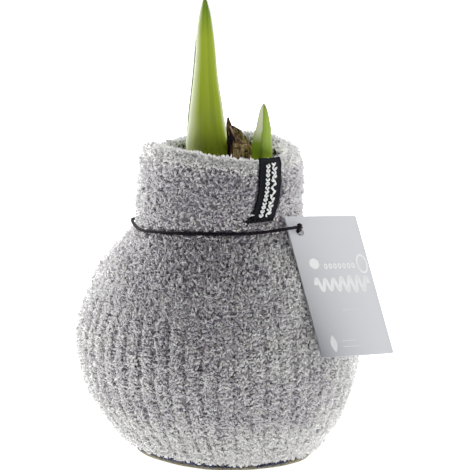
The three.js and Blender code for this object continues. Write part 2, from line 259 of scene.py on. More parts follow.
class Look:
    """A material around one Principled shader, with short calls for the nodes in front of it."""

    def __init__(self, name, colour, roughness, **numbers):
        self.material = bpy.data.materials.new(name)
        self.material.use_nodes = True
        self.tree = self.material.node_tree
        self.shader = self.tree.nodes["Principled BSDF"]
        for socket, value in {"Base Color": colour, "Roughness": roughness, **numbers}.items():
            self.shader.inputs[socket.replace("_", " ")].default_value = value

    def node(self, kind, inputs=(), **settings):
        made = self.tree.nodes.new(kind)
        for key, value in settings.items():
            setattr(made, key, value)
        for socket, value in dict(inputs).items():
            if isinstance(value, bpy.types.NodeSocket):
                self.tree.links.new(value, made.inputs[socket])
            else:
                made.inputs[socket].default_value = value
        return made

    def place(self, scale=(1, 1, 1), kind="Object"):
        """Object coordinates, stretched; they are in metres."""
        where = self.node("ShaderNodeTexCoord").outputs[kind]
        return self.node("ShaderNodeMapping", {"Vector": where, "Scale": scale}).outputs["Vector"]

    def across(self, scale=(1, 1, 1)):
        """The mesh's own UV, stretched."""
        return self.place(scale, "UV")

    def split(self, vector):
        return self.node("ShaderNodeSeparateXYZ", {"Vector": vector}).outputs

    def noise(self, vector, scale, detail=3.0, roughness=0.5):
        inputs = {"Vector": vector, "Scale": scale, "Detail": detail, "Roughness": roughness}
        return self.node("ShaderNodeTexNoise", inputs).outputs["Fac"]

    def reach(self, value, start, end, low=0.0, high=1.0):
        """low where the value is at start, high where it is at end, and straight between them."""
        inputs = {"Value": value, "From Min": start, "From Max": end, "To Min": low, "To Max": high}
        return self.node("ShaderNodeMapRange", inputs).outputs["Result"]

    def math(self, operation, a, b):
        return self.node("ShaderNodeMath", {0: a, 1: b}, operation=operation).outputs[0]

    def ramp(self, factor, stops):
        made = self.node("ShaderNodeValToRGB", {"Fac": factor})
        elements = made.color_ramp.elements
        while len(elements) < len(stops):
            elements.new(0.5)
        for element, (position, colour) in zip(elements, stops):
            element.position = position
            element.color = colour
        return made.outputs["Color"]

    def grey_ramp(self, factor, stops):
        return self.ramp(factor, [(position, (grey, grey, grey, 1)) for position, grey in stops])

    def mix(self, factor, a, b, blend="MIX"):
        inputs = {0: factor, 6: a, 7: b}
        return self.node("ShaderNodeMix", inputs, data_type="RGBA", blend_type=blend).outputs[2]

    def colour(self, socket):
        self.tree.links.new(socket, self.shader.inputs["Base Color"])

    def roughness(self, factor, low, high):
        self.tree.links.new(self.reach(factor, 0.0, 1.0, low, high), self.shader.inputs["Roughness"])

    def bump(self, height, distance, strength=1.0):
        made = self.node("ShaderNodeBump", {"Height": height, "Distance": distance, "Strength": strength})
        self.tree.links.new(made.outputs["Normal"], self.shader.inputs["Normal"])


# ---- The cover's surface ----

RIM_PILE = 1.8  # how far the knit itself stays under the top of the rim, which its pile reaches
BACK_RISE = 2.2  # how much higher the rim stands at the back
SHOULDER_TOP = [(38.1, 85), (32.8, 90.6)]  # the knit itself is pulled in more than the CAD part here
COLLAR_WAIST = (31.5, 112.5)
LINING_FOOT = 99  # height at which the knit's inside meets the neck of the bulb
PROFILE_STEP = 0.5
COURSE = 1.9  # height of one row of stitches
GROOVE_DEPTH = 3.0
CLEAR_RIBS_AZIMUTH = -150  # the knit is pulled tightest here, so its ribs stand out most
RIB_WAVER = 0.012  # how far the ribs wander, in radians
STITCH_RELIEF, UNEVENNESS = 0.14, 0.4
FLANK_BULGE = 1.3  # how far the rolled rim stands out at the sides
FOOT_DENT, FOOT_DENT_AZIMUTH = 1.8, -15  # the foot is pressed in at the right
CURL, CURL_AZIMUTH, CURL_REACH = 1.4, -144, 28  # the sole's edge curls up from the table at the left front
SEAM_LINE = [  # azimuth, height at which the knit's fringe ends over the seam, share of the stitches left out
    (-180, 2.6, 0.5), (-168, 4.1, 0.2), (-156, 6, 0.15), (-145, 5.9, 0.2), (-132, 5.1, 0.2), (-115, 4, 0.2),
    (-100, 3, 0.25), (-89, 2.5, 0.4), (-84, 1.6, 0.8), (-76, 1.7, 0.75), (-70, 2.6, 0.2), (-56, 2.8, 0.3),
    (-50, 1.7, 0.9), (-40, 1.2, 1), (-5, 1.2, 1), (15, 2, 0.5), (90, 2, 0.4), (180, 2.6, 0.5),
]


def axis_x(height):
    back = COLLAR_LEAN * smoothstep(height, COLLAR_LEAN_START, WAVE_END)
    return LEAN * (1 - np.exp(-np.maximum(height, 0) / LEAN_RISE)) + back


def rim_lift(height, azimuth):
    turn = azimuth - math.radians(RIM_HIGH_AZIMUTH)
    wave = RIM_TILT * np.cos(turn) + RIM_FOLD * np.cos(2 * turn)
    wave = wave + BACK_RISE * smoothstep(np.sin(azimuth), 0.5, 0.85)
    return wave * smoothstep(height, WAVE_START, WAVE_END)


def on_knit(radius, height, azimuth):
    """Points at radii, heights and azimuths (radians) on the leaning axis and the waved rim."""
    x = axis_x(height) + radius * np.cos(azimuth)
    return stacked(x, radius * np.sin(azimuth), height + rim_lift(height, azimuth))


def cover_profile():
    """[radius, height] up the outside, over the rolled rim and down the inside to the neck, evenly spaced."""
    half = COLLAR_WALL / 2 - 0.9
    centre = COLLAR_OUTLINE[-1][0] - COLLAR_WALL / 2
    top = COLLAR_OUTLINE[-1][1] - 0.5
    rise = RIM_ROLL - RIM_PILE
    roll = [(centre + half * math.cos(a), top + rise * math.sin(a)) for a in np.linspace(0, math.pi, 25)]
    inside = [(centre - half, top - 7), (centre - half, LINING_FOOT)]
    collar = COLLAR_OUTLINE[:-2] + [COLLAR_WAIST, roll[0]]
    sharp = np.vstack([spline(BODY_OUTLINE[:-2] + SHOULDER_TOP, 120), spline(collar, 40), roll[1:], inside])
    even = at_shares(sharp, np.linspace(0, 1, int(length_along(sharp)[-1] / PROFILE_STEP)))
    for _ in range(4):
        even[1:-1] = (even[:-2] + 2 * even[1:-1] + even[2:]) / 4
    return even


PROFILE = cover_profile()
PROFILE_ALONG = length_along(PROFILE)
WIDEST = PROFILE[:, 0].max()
RIM_TOP = PROFILE_ALONG[PROFILE[:, 1].argmax()]


def radius_at(along):
    return np.interp(along, PROFILE_ALONG, PROFILE[:, 0])


def outside_at(along):
    """1 on the outside of the knit and 0 within the collar."""
    return 1 - smoothstep(along, RIM_TOP - 1, RIM_TOP + 3)


def knit_noise(along, azimuth, high, round_it, seed):
    """Noise over the knit, in cells so many millimetres high and so many to a radian round it."""
    return lattice_noise(stacked(along / high, np.cos(azimuth) * round_it, np.sin(azimuth) * round_it), seed)


def groove_at(along, azimuth, sharpness=4):
    """Depth of the groove between two ribs as a share, clearest low on the body."""
    azimuth = azimuth + RIB_WAVER * knit_noise(along, azimuth, 6, 9, 8)
    low = smoothstep(-np.interp(along, PROFILE_ALONG, PROFILE[:, 1]), -76, -44)
    clear = 0.12 + (0.46 + 0.55 * facing(azimuth, CLEAR_RIBS_AZIMUTH, 0.3, 0.8)) * low
    clear = clear + (0.12 + 0.16 * low) * knit_noise(along, azimuth, 17, 3, 5)
    return ((1 + np.cos(RIBS * azimuth)) / 2) ** sharpness * outside_at(along) * np.clip(clear, 0.06, 1)


def cover_point(along, azimuth):
    """Points of the knit's surface at lengths along its profile and azimuths in radians."""
    radius = radius_at(along)
    height = np.interp(along, PROFILE_ALONG, PROFILE[:, 1])
    outside = outside_at(along)
    rib = np.floor(RIBS * azimuth / (2 * math.pi))
    stitch = STITCH_RELIEF * np.cos(2 * math.pi * along / COURSE + 2.4 * rib)
    swell = UNEVENNESS * knit_noise(along, azimuth, 11, 3.4, 6) * smoothstep(along, 0, 12) * outside
    radius = radius - GROOVE_DEPTH * groove_at(along, azimuth) * radius / WIDEST + stitch + swell
    flank = facing(azimuth, 180, 0.5, 0.95) + 0.6 * facing(azimuth, 0, 0.5, 0.95)
    slim = smoothstep(height, 93, 98) * (1 - 0.9 * hump(height, 112, 7)) * facing(azimuth, 0, 0.3)
    radius = radius + outside * (FLANK_BULGE * flank * hump(along, RIM_TOP - 4, 3) - slim)
    radius = radius - FOOT_DENT * hump(height, 6, 4) * facing(azimuth, FOOT_DENT_AZIMUTH, 0.6)
    return on_knit(radius, height, azimuth)


def cover_frame(along, azimuth):
    """Points of the surface with the directions out of it, up along it and round it."""
    here = cover_point(along, azimuth)
    up = unit(cover_point(along + 0.3, azimuth) - cover_point(along - 0.3, azimuth))
    around = unit(cover_point(along, azimuth + 0.006) - cover_point(along, azimuth - 0.006))
    out = unit(np.cross(around, up))
    return here, out, up, np.cross(up, out)


def sole_curl(azimuth):
    """How far the sole's edge stands off the table."""
    return CURL * hump(wrap(np.degrees(azimuth) - CURL_AZIMUTH), 0, CURL_REACH)


def seam_at(azimuth):
    """Height at which the fringe ends and share of the stitches that are missing, from SEAM_LINE."""
    at, height, missing = np.array(SEAM_LINE).T
    turn = wrap(np.degrees(azimuth))
    return np.interp(turn, at, height), np.interp(turn, at, missing)


# ---- Card, cord and label: places that the knit's pile keeps clear of ----

LABEL_WIDTH = 10.4
LABEL_TURN = 2.5  # how far its top turns to the right, in degrees
CORD_HEIGHT, CORD_BAND = 93.5, 6  # only knit this close to this height is compared with the cord
CORD_RISE_REACH = 0.22  # the cord rises at the left end of its ring, over this many radians


def turn_matrix(axis, degrees):
    """Turn about the x axis, 0, or the z axis, 2."""
    c, s = math.cos(math.radians(degrees)), math.sin(math.radians(degrees))
    i, j = [k for k in range(3) if k != axis]
    matrix = np.eye(3)
    matrix[i, i] = matrix[j, j] = c
    matrix[i, j], matrix[j, i] = -s, s
    return matrix


TAG_AXES = turn_matrix(2, TAG_AZIMUTH + 90) @ turn_matrix(0, 90 - TAG_TILT) @ turn_matrix(2, TAG_ROLL)


def from_tag_hole(right, up, out):
    """Points given along the card and out of its face, from the centre of its hole."""
    return stacked(right, up, out) @ TAG_AXES.T + np.array(TAG_HOLE_PLACE)


def to_tag_hole(points):
    return (points - np.array(TAG_HOLE_PLACE)) @ TAG_AXES


KNOT = from_tag_hole(-0.9, 1.4, TAG_THICKNESS / 2 + KNOT_RADIUS)


def cord_route():
    """From the knot through the hole of the card, behind the collar, along its front and to the knot."""
    azimuth = np.radians(np.linspace(CORD_MEETS_RING, 360 + CORD_LEAVES_RING, CORD_TURNS + 1))
    front = np.maximum(0, -np.sin(azimuth)) ** 1.5
    left = hump(azimuth, math.pi, CORD_RISE_REACH)
    radius = CORD_RING[0] + (CORD_FRONT[0] - CORD_RING[0]) * front + 0.5 * left
    height = CORD_RING[1] + (CORD_FRONT[1] - CORD_RING[1]) * front + 2.4 * left
    route = [KNOT, from_tag_hole(0.2, 1.5, 1.1), from_tag_hole(0, 1.1, 0), from_tag_hole(0.4, 0.8, -1.3)]
    route += list(on_knit(radius, height, azimuth))
    clear = TAG_THICKNESS / 2 + CORD_DIAMETER / 2 + GAP + 0.2
    return centripetal(route + [from_tag_hole(-TAG_HOLE_INSET[0] - 0.3, 0.9, clear), KNOT], 900)


CORD_PATH = cord_route()


def label_curve():
    """The collar's outline and the outer part of its rolled rim, as the ribbon follows them."""
    half = COLLAR_WALL / 2
    steps = math.pi * np.array([1, 2, 3]) / 5
    roll = stacked(COLLAR_OUTLINE[-1][0] - half + half * np.cos(steps),
                   COLLAR_OUTLINE[-1][1] + RIM_ROLL * np.sin(steps))
    return spline(np.vstack([COLLAR_OUTLINE, roll]), 400)


LABEL_CURVE = label_curve()
LABEL_LENGTH = length_along(LABEL_CURVE)[-1] * (LABEL_END - LABEL_START)


def on_label(x, y, lift):
    """Points of the ribbon: x across it in millimetres, y from 0 at its foot to 1, lift over its back."""
    share = LABEL_START + (LABEL_END - LABEL_START) * np.asarray(y, float)
    point = at_shares(LABEL_CURVE, share)
    tangent = unit(at_shares(LABEL_CURVE, share + 0.004) - at_shares(LABEL_CURVE, share - 0.004))
    radius = point[..., 0] + tangent[..., 1] * (LABEL_CLEARANCE + lift)
    height = point[..., 1] - tangent[..., 0] * (LABEL_CLEARANCE + lift)
    azimuth = np.radians(LABEL_AZIMUTH + LABEL_SWING * (1 - y) ** 3 + LABEL_TURN * y**3) + x / radius
    return on_knit(radius, height, azimuth)


RIBBON = on_label(np.linspace(-LABEL_WIDTH / 2, LABEL_WIDTH / 2, 13)[None, :],
                  np.linspace(0, 1, 34)[:, None], LABEL_THICKNESS / 2).reshape(-1, 3)


def distance_to(points, others):
    return np.linalg.norm(points[:, None] - others[None], axis=2).min(1)


def near_obstacle(points, reach):
    """Which points come within reach of the cord, the ribbon or the card."""
    near = np.zeros(len(points), bool)
    band = np.abs(points[:, 2] - CORD_HEIGHT) < CORD_BAND
    near[band] = distance_to(points[band], CORD_PATH[::4]) < CORD_DIAMETER / 2 + reach
    box = np.all((points > RIBBON.min(0) - 2) & (points < RIBBON.max(0) + 2), 1)
    near[box] |= distance_to(points[box], RIBBON) < 0.7 + reach
    right, up, out = to_tag_hole(points).T
    left, top = TAG_HOLE_INSET
    over = (right > -left - 0.3) & (right < TAG_WIDTH - left + 0.3)
    over &= (up < top + 0.3) & (up > top - TAG_HEIGHT - 0.3)
    return near | (over & (np.abs(out) < TAG_THICKNESS / 2 + reach))


# ---- Knit cover ----

KNIT_GREYS = [  # from light to dark, with the share of the fibres that has each
    (srgb(237, 236, 232), 0.15),
    (srgb(211, 209, 208), 0.21),
    (srgb(200, 197, 199), 0.19),
    (srgb(188, 184, 189), 0.17),
    (srgb(175, 170, 177), 0.14),
    (srgb(160, 153, 163), 0.14),
]
OTHER_COLOURS = [srgb(178, 172, 159), srgb(128, 122, 130), srgb(190, 188, 190), srgb(74, 72, 76)]
# Their numbers: a warmer fibre here and there, the knit under the pile, a lighter knit painted as light at
# its lit sides, and a near-black knit painted as shade down inside the collar
FLECK, GROUND, PAINTED_LIGHT_GROUND, PAINTED_SHADE_GROUND = range(len(KNIT_GREYS), len(KNIT_GREYS) + len(OTHER_COLOURS))
FLECK_SHARE = 0.05
LOOSE_AND_SHADED_AZIMUTH = -92  # the pile is loosest here and its greys most mottled and most darkened by painted shade; round the lit sides they are evener, as painted light
MELANGE_AND_PAINTED_SHADE = [  # darker (+) and lighter (-) places of the knit, some melange and most of them painted shade and painted light (shaded creases and hollows; a lit rim crest, sides and foot): azimuth, height, reach round and up, amount
    (-101, 45, 9, 7, 0.25), (-91, 35, 8, 4, 0.25), (-65, 33, 15, 4, 0.3), (-48, 36, 13, 7, 0.35),
    (-128, 112, 12, 8, 0.3), (-108, 104, 7, 9, 0.25), (-80, 110, 9, 7, 0.2), (-107, 89, 16, 7, 0.2),
    (-130, 122.5, 30, 3.6, -0.6), (-80, 120, 34, 3.6, -0.9), (-84, 107, 26, 11, 0.12),
    (-118, 103, 12, 12, 0.12), (-80, 84, 30, 8, 0.1), (-110, 82, 22, 8, 0.2), (-56, 82, 12, 8, -0.4),
    (-74, 57, 10, 9, -0.25), (-52, 58, 13, 18, -0.45), (-68, 50, 10, 12, -0.15), (-136, 54, 22, 8, -0.25),
    (-85, 9, 75, 8, -0.5), (-48, 9, 26, 8, -1.1), (-55, 24, 17, 4.5, 0.45), (-92, 26, 14, 5, 0.25),
    (-122, 28, 14, 4, 0.25), (-130, 9, 20, 5, -0.35), (-95, 6.5, 30, 3, -0.3), (-10, 50, 22, 40, -0.5),
    (-172, 50, 20, 40, -0.25), (-34, 107, 22, 13, 0.35), (-140, 107, 16, 12, 0.2),
]
WALES, COURSES = 2 * RIBS, 160  # columns and rows of tufts
TUFT_SIZE, TUFT_JITTER = 1.4, 0.34  # in millimetres, and as a share of a wale or a course
TUFT_LIE, TUFT_LIE_SPREAD = 48, 20  # angle of a tuft's pile to its course, in degrees
CONTRARY_SHARE = 0.22  # share of the tufts whose pile lies the other way
FOOT_FRINGE = 4.5  # length along the profile over which the pile hangs down over the seam
FLATTEST = math.radians(84)  # lean from upright of a fibre that something presses down
FUZZ_COLOUR, FUZZ_LENGTH, FUZZ_RADIUS = 1, 2.7, 0.11


def knit_materials():
    """Matt fibres in the greys of a melange chenille yarn, and the other colours of the knit."""
    made = []
    for number, colour in enumerate([grey for grey, _ in KNIT_GREYS] + OTHER_COLOURS):
        look = Look(f"chenille_{number}", colour, 0.9, Sheen_Weight=0.2, Sheen_Roughness=0.5,
                    Specular_IOR_Level=0.1, Subsurface_Weight=0.8, Subsurface_Radius=(1, 1, 1),
                    Subsurface_Scale=1.5 * MM)
        made.append(look.material)
    return made


def loose_and_shaded_at(azimuth):
    """How loose the pile is, and how mottled its greys and how deep its painted shade, from 0.35 at the lit
    sides and the back to 1 at the front.
    """
    return 0.35 + 0.65 * facing(azimuth, LOOSE_AND_SHADED_AZIMUTH, 0.25, 0.85)


def make_cover(materials):
    """The knit under its pile: ribs, stitches, rolled rim and inner wall, closed below."""
    along = np.concatenate([np.arange(0, PROFILE_ALONG[-1], COURSE), [PROFILE_ALONG[-1]]])
    azimuth = circle(RIBS * 4)
    skin = cover_point(along[:, None], azimuth[None, :])
    radius, height = spline(BODY_OUTLINE, 9)[::-1].T[:, :, None]
    lining = on_knit(radius - BODY_WALL, height, azimuth[None, :])
    rings = np.concatenate([skin, lining, skin[:1]])
    # painted light: the knit under the pile is lighter towards the lit sides, below the collar
    light = 1.4 * (1 - loose_and_shaded_at(azimuth)) * (1 - smoothstep(rings[:-1, :1, 2], 80, 92))
    light = np.random.default_rng(10).uniform(0, 1, light.shape) < light
    which = np.where(light, PAINTED_LIGHT_GROUND, GROUND)
    # painted shade: the knit inside the collar and the body is nearly black
    which[(along <= RIM_TOP + 5).sum() :] = PAINTED_SHADE_GROUND
    make_piece("knit_cover_base", (rings.reshape(-1, 3), grid_faces(len(rings), len(azimuth))), materials,
               ["knit_cover"], which=np.tile(which.ravel(), 2))


def tufts(along, azimuth):
    """For each root: its place from the middle of its tuft in millimetres round and along the knit, the
    angle at which that tuft's pile lies, and a random shade from 0 to 1."""
    rng = np.random.default_rng(7)
    jitter = rng.uniform(-TUFT_JITTER, TUFT_JITTER, (2, WALES, COURSES))
    chevron = np.where(np.arange(WALES) % 2 == 0, 1, -1)[:, None]
    lie = np.radians(chevron * rng.normal(TUFT_LIE, TUFT_LIE_SPREAD, (WALES, COURSES)))
    lie = np.where(rng.uniform(0, 1, (WALES, COURSES)) < CONTRARY_SHARE, -lie, lie)
    shade = rng.uniform(0, 1, (WALES, COURSES))
    wide = 2 * math.pi * radius_at(along) / WALES
    u, v = azimuth / (2 * math.pi) * WALES, along / COURSE
    best = np.full(len(along), 1e9)
    way = np.zeros((len(along), 2))
    tuft = np.zeros((len(along), 2), int)
    for du, dv in [(du, dv) for du in (-1, 0, 1) for dv in (-1, 0, 1)]:
        i, j = np.floor(u).astype(int) + du, np.floor(v).astype(int) + dv
        place = i % WALES, j % COURSES
        aside = (u - i - 0.5 - jitter[0][place]) * wide
        offset = np.stack([aside, (v - j - 0.5 - jitter[1][place]) * COURSE], -1)
        far = np.linalg.norm(offset, axis=1)
        nearer = far < best
        best[nearer], way[nearer], tuft[nearer] = far[nearer], offset[nearer], np.stack(place, -1)[nearer]
    mine = tuft[:, 0], tuft[:, 1]
    return way, lie[mine], shade[mine]


def melange_and_painted_shade_at(points):
    """How much darker the knit is at some points, from the places in MELANGE_AND_PAINTED_SHADE: melange
    patches and painted shade, and below 0 painted light.
    """
    azimuth = np.degrees(np.arctan2(points[:, 1], points[:, 0] - axis_x(points[:, 2])))
    return sum(amount * hump(wrap(azimuth - around), 0, wide) * hump(points[:, 2], height, high)
               for around, height, wide, high, amount in MELANGE_AND_PAINTED_SHADE)


def scatter(rng, count, start, end):
    """Random places, evenly over the knit between two lengths along its profile: lengths and azimuths."""
    steps = np.linspace(start, end, 400)
    weight = np.cumsum(radius_at(steps))
    along = np.interp(rng.uniform(0, weight[-1], count), weight, steps)
    return along, rng.uniform(-math.pi, math.pi, count)


def three_round(rng, centre, axis, radius):
    """Three points round each centre, across its axis and turned at random."""
    side = unit(np.cross(axis, rng.normal(size=axis.shape)))
    other = np.cross(axis, side)
    return [centre + radius * (side * math.cos(a) + other * math.sin(a)) for a in circle(3)]


def many(points, faces):
    """Small closed shapes of the same faces, from points given as (shapes, points in each, 3)."""
    triangles = np.arange(len(points))[:, None, None] * points.shape[1] + np.array(faces)
    return points.reshape(-1, 3), triangles.reshape(-1, 3)


def fibre_lean(rng, along, azimuth, lie, outwards, out, up, around):
    """Direction over the knit in which each fibre leans: as its tuft lies, to either side, outwards at the
    tuft's edge, off the rib into its groove, and down where the pile hangs over the seam."""
    slope = (groove_at(along, azimuth, 1.5) * np.sign(np.sin(RIBS * azimuth)))[:, None]
    sign = np.where(rng.uniform(0, 1, len(along)) < 0.5, 1, -1)[:, None]
    lean = sign * (np.cos(lie) * around * (1 - np.abs(slope)) + np.sin(lie) * up) + slope * around
    lean = unit(lean + 0.45 * outwards + 0.25 * rng.normal(size=up.shape))
    hang = (1 - smoothstep(along, 0, FOOT_FRINGE))[:, None]
    lean = unit(lean * (1 - hang) - up * hang)
    return unit(lean - out * np.sum(lean * out, 1, keepdims=True))


def fibre_colours(rng, shade, spread, dark, painted_shade, keep):
    """Number of the colour of each fibre that is kept; the greys get darker with dark, which carries painted
    shade, and where painted_shade is high the fibres take the near-black painted shade colour.
    """
    own = 0.65 * shade + 0.35 * rng.uniform(0, 1, len(shade))
    score = np.clip(0.5 + spread * (own - 0.5) + dark, 0, 0.999)[keep]
    colours = np.searchsorted(np.cumsum([share for _, share in KNIT_GREYS[:-1]]), score)
    colours[rng.uniform(0, 1, len(colours)) < FLECK_SHARE] = FLECK
    colours[rng.uniform(0, 1, len(colours)) < 3 * (painted_shade[keep] - 0.65)] = PAINTED_SHADE_GROUND
    return colours


def make_pile(materials, name, seed, count, band, length, painted_shade_by_length, tilt=66, combed=1.0, thickness=0.52,
              bend=0.22, spread=0.9, gather=0.16):
    """Chenille pile over a band of the profile: bent fibres that lie together tuft by tuft.
    painted_shade_by_length gives lengths along the profile and how much painted shade (below 0, painted
    light) the pile's greys get there; tilt is the fibres' mean lean from upright in degrees; combed above 1
    turns them more up and down the knit; bend is how much they curl, spread how much their greys differ,
    and gather how far a tuft's roots are drawn together."""
    rng = np.random.default_rng(seed)
    along, azimuth = scatter(rng, count, *band)
    way, lie, shade = tufts(along, azimuth)
    loose = loose_and_shaded_at(azimuth)
    azimuth = azimuth - gather * loose * way[:, 0] / radius_at(along)
    along = along - gather * loose * way[:, 1]
    root, out, up, around = cover_frame(along, azimuth)
    edge, way = np.clip(np.linalg.norm(way, axis=1, keepdims=True) / TUFT_SIZE, 0, 1.2), unit(way)
    valley = groove_at(along, azimuth)[:, None]
    lie = (lie * combed + rng.normal(0, 0.3 / combed, count))[:, None]
    outwards = edge * (way[:, :1] * around + way[:, 1:] * up)
    lean = fibre_lean(rng, along, azimuth, lie, outwards, out, up, around)
    lower = 6 * (1 - loose) * (along < RIM_TOP - 25)
    angle = np.radians(np.clip(rng.normal(tilt + lower, 13, count), 12, 84))[:, None]
    long = length * rng.uniform(0.7, 1.25, (count, 1)) * (1.05 - 0.3 * edge) * (1 - 0.6 * valley)
    long = long * (0.85 + 0.3 * ((shade * 7.3) % 1)[:, None])
    pressed = near_obstacle(root + out * 0.9, 0.3) | near_obstacle(root + (out + lean) * 0.7 * long, 0.3)
    angle[pressed], long[pressed] = FLATTEST, np.minimum(long[pressed], 0.9)
    low, high = angle * (1 - bend), angle * (1 + bend)
    rise = unit(out * np.cos(low) + lean * np.sin(low))
    bow = unit(out * np.cos(high) + lean * np.sin(high) + 0.9 * bend * rng.normal(size=root.shape))
    middle = root + rise * long * 0.5
    tip = middle + bow * long * 0.5
    keep = ~near_obstacle(tip, 0.03) & ~near_obstacle(middle, 0.1)
    keep &= tip[:, 2] > seam_at(azimuth)[0] + rng.uniform(-1.2, 0.5, count)
    thick = thickness * rng.uniform(0.8, 1.2, (count, 1)) * (1 - 0.4 * pressed[:, None])
    keep &= rng.uniform(0, 1, count) > 1.3 * valley[:, 0] - 0.4
    foot, middle, tip = (root - rise * 0.3)[keep], middle[keep], tip[keep]
    points = np.stack([foot, *three_round(rng, middle, unit(tip - foot), thick[keep]), tip], 1)
    faces = [(0, 2, 1), (0, 3, 2), (0, 1, 3), (4, 1, 2), (4, 2, 3), (4, 3, 1)]
    painted_shade = np.interp(along, *painted_shade_by_length)
    # dark: melange patches from the noise, plus painted shade at the tufts' edges and down in the grooves,
    # deepest at the front, then the band's painted shade and the places' painted shade and light
    dark = 0.2 * lattice_noise(root / 5, 9) + (0.2 * edge + 0.8 * valley)[:, 0] * (0.4 + 0.6 * loose)
    dark = dark - 0.2 + 0.06 * loose + painted_shade + melange_and_painted_shade_at(root)
    # spread * loose: the greys differ less at the lit sides, as painted light
    colours = fibre_colours(rng, shade, spread * loose, dark, painted_shade, keep)
    make_piece(name, many(points, faces), materials, which=np.repeat(colours, len(faces)))


def make_fuzz(materials, name, seed, count, band):
    """Fine light fibres that stand out of the pile and soften its outline."""
    rng = np.random.default_rng(seed)
    along, azimuth = scatter(rng, count, *band)
    root, out = cover_frame(along, azimuth)[:2]
    long = FUZZ_LENGTH * rng.uniform(0.6, 1.3, (count, 1))
    way = unit(out + 0.4 * rng.normal(size=root.shape))
    tip = root + way * long
    keep = ~near_obstacle(tip, 0.8) & ~near_obstacle(root + way * long / 2, 0.5)
    keep &= tip[:, 2] > seam_at(azimuth)[0] + 0.2
    ring = three_round(rng, root[keep], way[keep], FUZZ_RADIUS)
    shape = many(np.stack([*ring, tip[keep]], 1), [(0, 2, 1), (3, 0, 1), (3, 1, 2), (3, 2, 0)])
    make_piece(name, shape, materials, which=np.full(len(shape[1]), FUZZ_COLOUR))


def make_knit():
    materials = knit_materials()
    make_cover(materials)
    half = len(PROFILE) // 2
    collar_foot = np.interp(92.0, PROFILE[:half, 1], PROFILE_ALONG[:half])
    lower, upper = collar_foot * 0.36, collar_foot * 0.68
    # painted shade by height on the body's pile: a little painted light low down, darkest at the shoulder
    body = ([lower - 8, lower + 8, upper - 9, upper + 9], [-0.12, -0.03, -0.03, 0.25])
    upright = {"combed": 1.4, "bend": 0.16, "spread": 0.7}
    ends = [0, lower, upper, collar_foot]
    for k, (place, count) in enumerate([("foot", 19000), ("belly", 19000), ("shoulder", 16000)]):
        make_pile(materials, "pile_" + place, 11 + k, count, (ends[k], ends[k + 1]), 2.5, body)
    # painted shade on the collar's pile and deep inside the collar, and painted light on the rim's crest
    make_pile(materials, "pile_collar", 14, 15000, (collar_foot, RIM_TOP - 3), 2.9, ([0], [0.2]),
              tilt=54, thickness=0.5, gather=0.27, **upright)
    make_pile(materials, "pile_rim", 15, 8000, (RIM_TOP - 3, RIM_TOP + 2.5), 2.7, ([0], [-1.5]),
              tilt=40, thickness=0.48, **upright)
    make_pile(materials, "pile_inside", 16, 6500, (RIM_TOP + 2.5, PROFILE_ALONG[-1] - 2), 2.0, ([0], [0.95]))
    make_fuzz(materials, "fuzz_body", 17, 40000, (2, collar_foot))
    make_fuzz(materials, "fuzz_collar", 18, 15000, (collar_foot, RIM_TOP + 4))


# ---- Sole ----

SOLE_SECTION = [(18, 0), (2.5, 0), (0.1, 0.12), (0, 0.5), (0.15, 0.88), (2.5, 1), (18, 1)]  # inset, level
SOLE_TRIM, SOLE_TRIM_AZIMUTH = 1.8, -8  # the sole is cut closer at the right
STITCHES = 420


def sole_material():
    look = Look("felt_sole", srgb(120, 112, 88), 0.95)
    fibre = look.noise(look.place(), 900, 4, 0.6)
    look.colour(look.ramp(fibre, [(0.3, srgb(84, 77, 60)), (0.7, srgb(150, 142, 116))]))
    look.bump(fibre, 0.0003)
    return look.material


def make_sole():
    """Round felt sole with a soft uneven edge."""
    rng = np.random.default_rng(21)
    angle = circle(180)
    uneven = 0.12 * np.sin(angle * 7 + 1) + 0.1 * np.sin(angle * 17) + rng.uniform(-0.05, 0.05, len(angle))
    rings = []
    for inset, level in SOLE_SECTION:
        near = smoothstep(-inset, -12, 0)
        radius = SOLE_RADIUS - inset + uneven * (inset < 1) + 1.5 * sole_curl(angle) * near
        radius = radius - SOLE_TRIM * facing(angle, SOLE_TRIM_AZIMUTH, 0.8) * near
        height = level * SOLE_THICKNESS + sole_curl(angle) * near
        rings.append(stacked(radius * np.cos(angle), radius * np.sin(angle), height))
    make_piece("sole_felt", loft(np.array(rings)), [sole_material()], ["sole"])


def make_sole_seam():
    """Navy thread that sews the sole to the knit, with short ends standing out of it."""
    look = Look("navy_thread", srgb(34, 39, 64), 0.8, Sheen_Weight=0.15, Specular_IOR_Level=0.15)
    radii, heights = np.array(BODY_OUTLINE).T
    rng = np.random.default_rng(22)
    shapes = []
    for k in range(STITCHES):
        a = 2 * math.pi * (k + rng.uniform(-0.4, 0.4)) / STITCHES
        b = a + rng.uniform(-0.02, 0.05)
        curl = float(sole_curl(a))
        top, missing = seam_at(a)
        low, high = rng.uniform(1.3, 1.9) + 1.1 * curl, top + rng.uniform(-0.9, 0.4)
        if rng.uniform(0, 1) < missing:
            continue
        skin = float(np.interp(high, heights, radii))
        inner, outer = SOLE_RADIUS + 0.35 + 1.3 * curl, skin + rng.uniform(0.4, 1.4) + 0.1 * (top - 2)
        start = np.array([inner * math.cos(a), inner * math.sin(a), low])
        end = np.array([outer * math.cos(b), outer * math.sin(b), max(high, low + 0.7)])
        mid = (start + end) / 2 + np.array([math.cos(a), math.sin(a), -0.3]) * rng.uniform(0.3, 0.7)
        shapes.append(tube(spline([start, mid, end], 5), rng.uniform(0.24, 0.4), 5))
    make_piece("sole_seam", join(shapes), [look.material])


# ---- Shoots ----

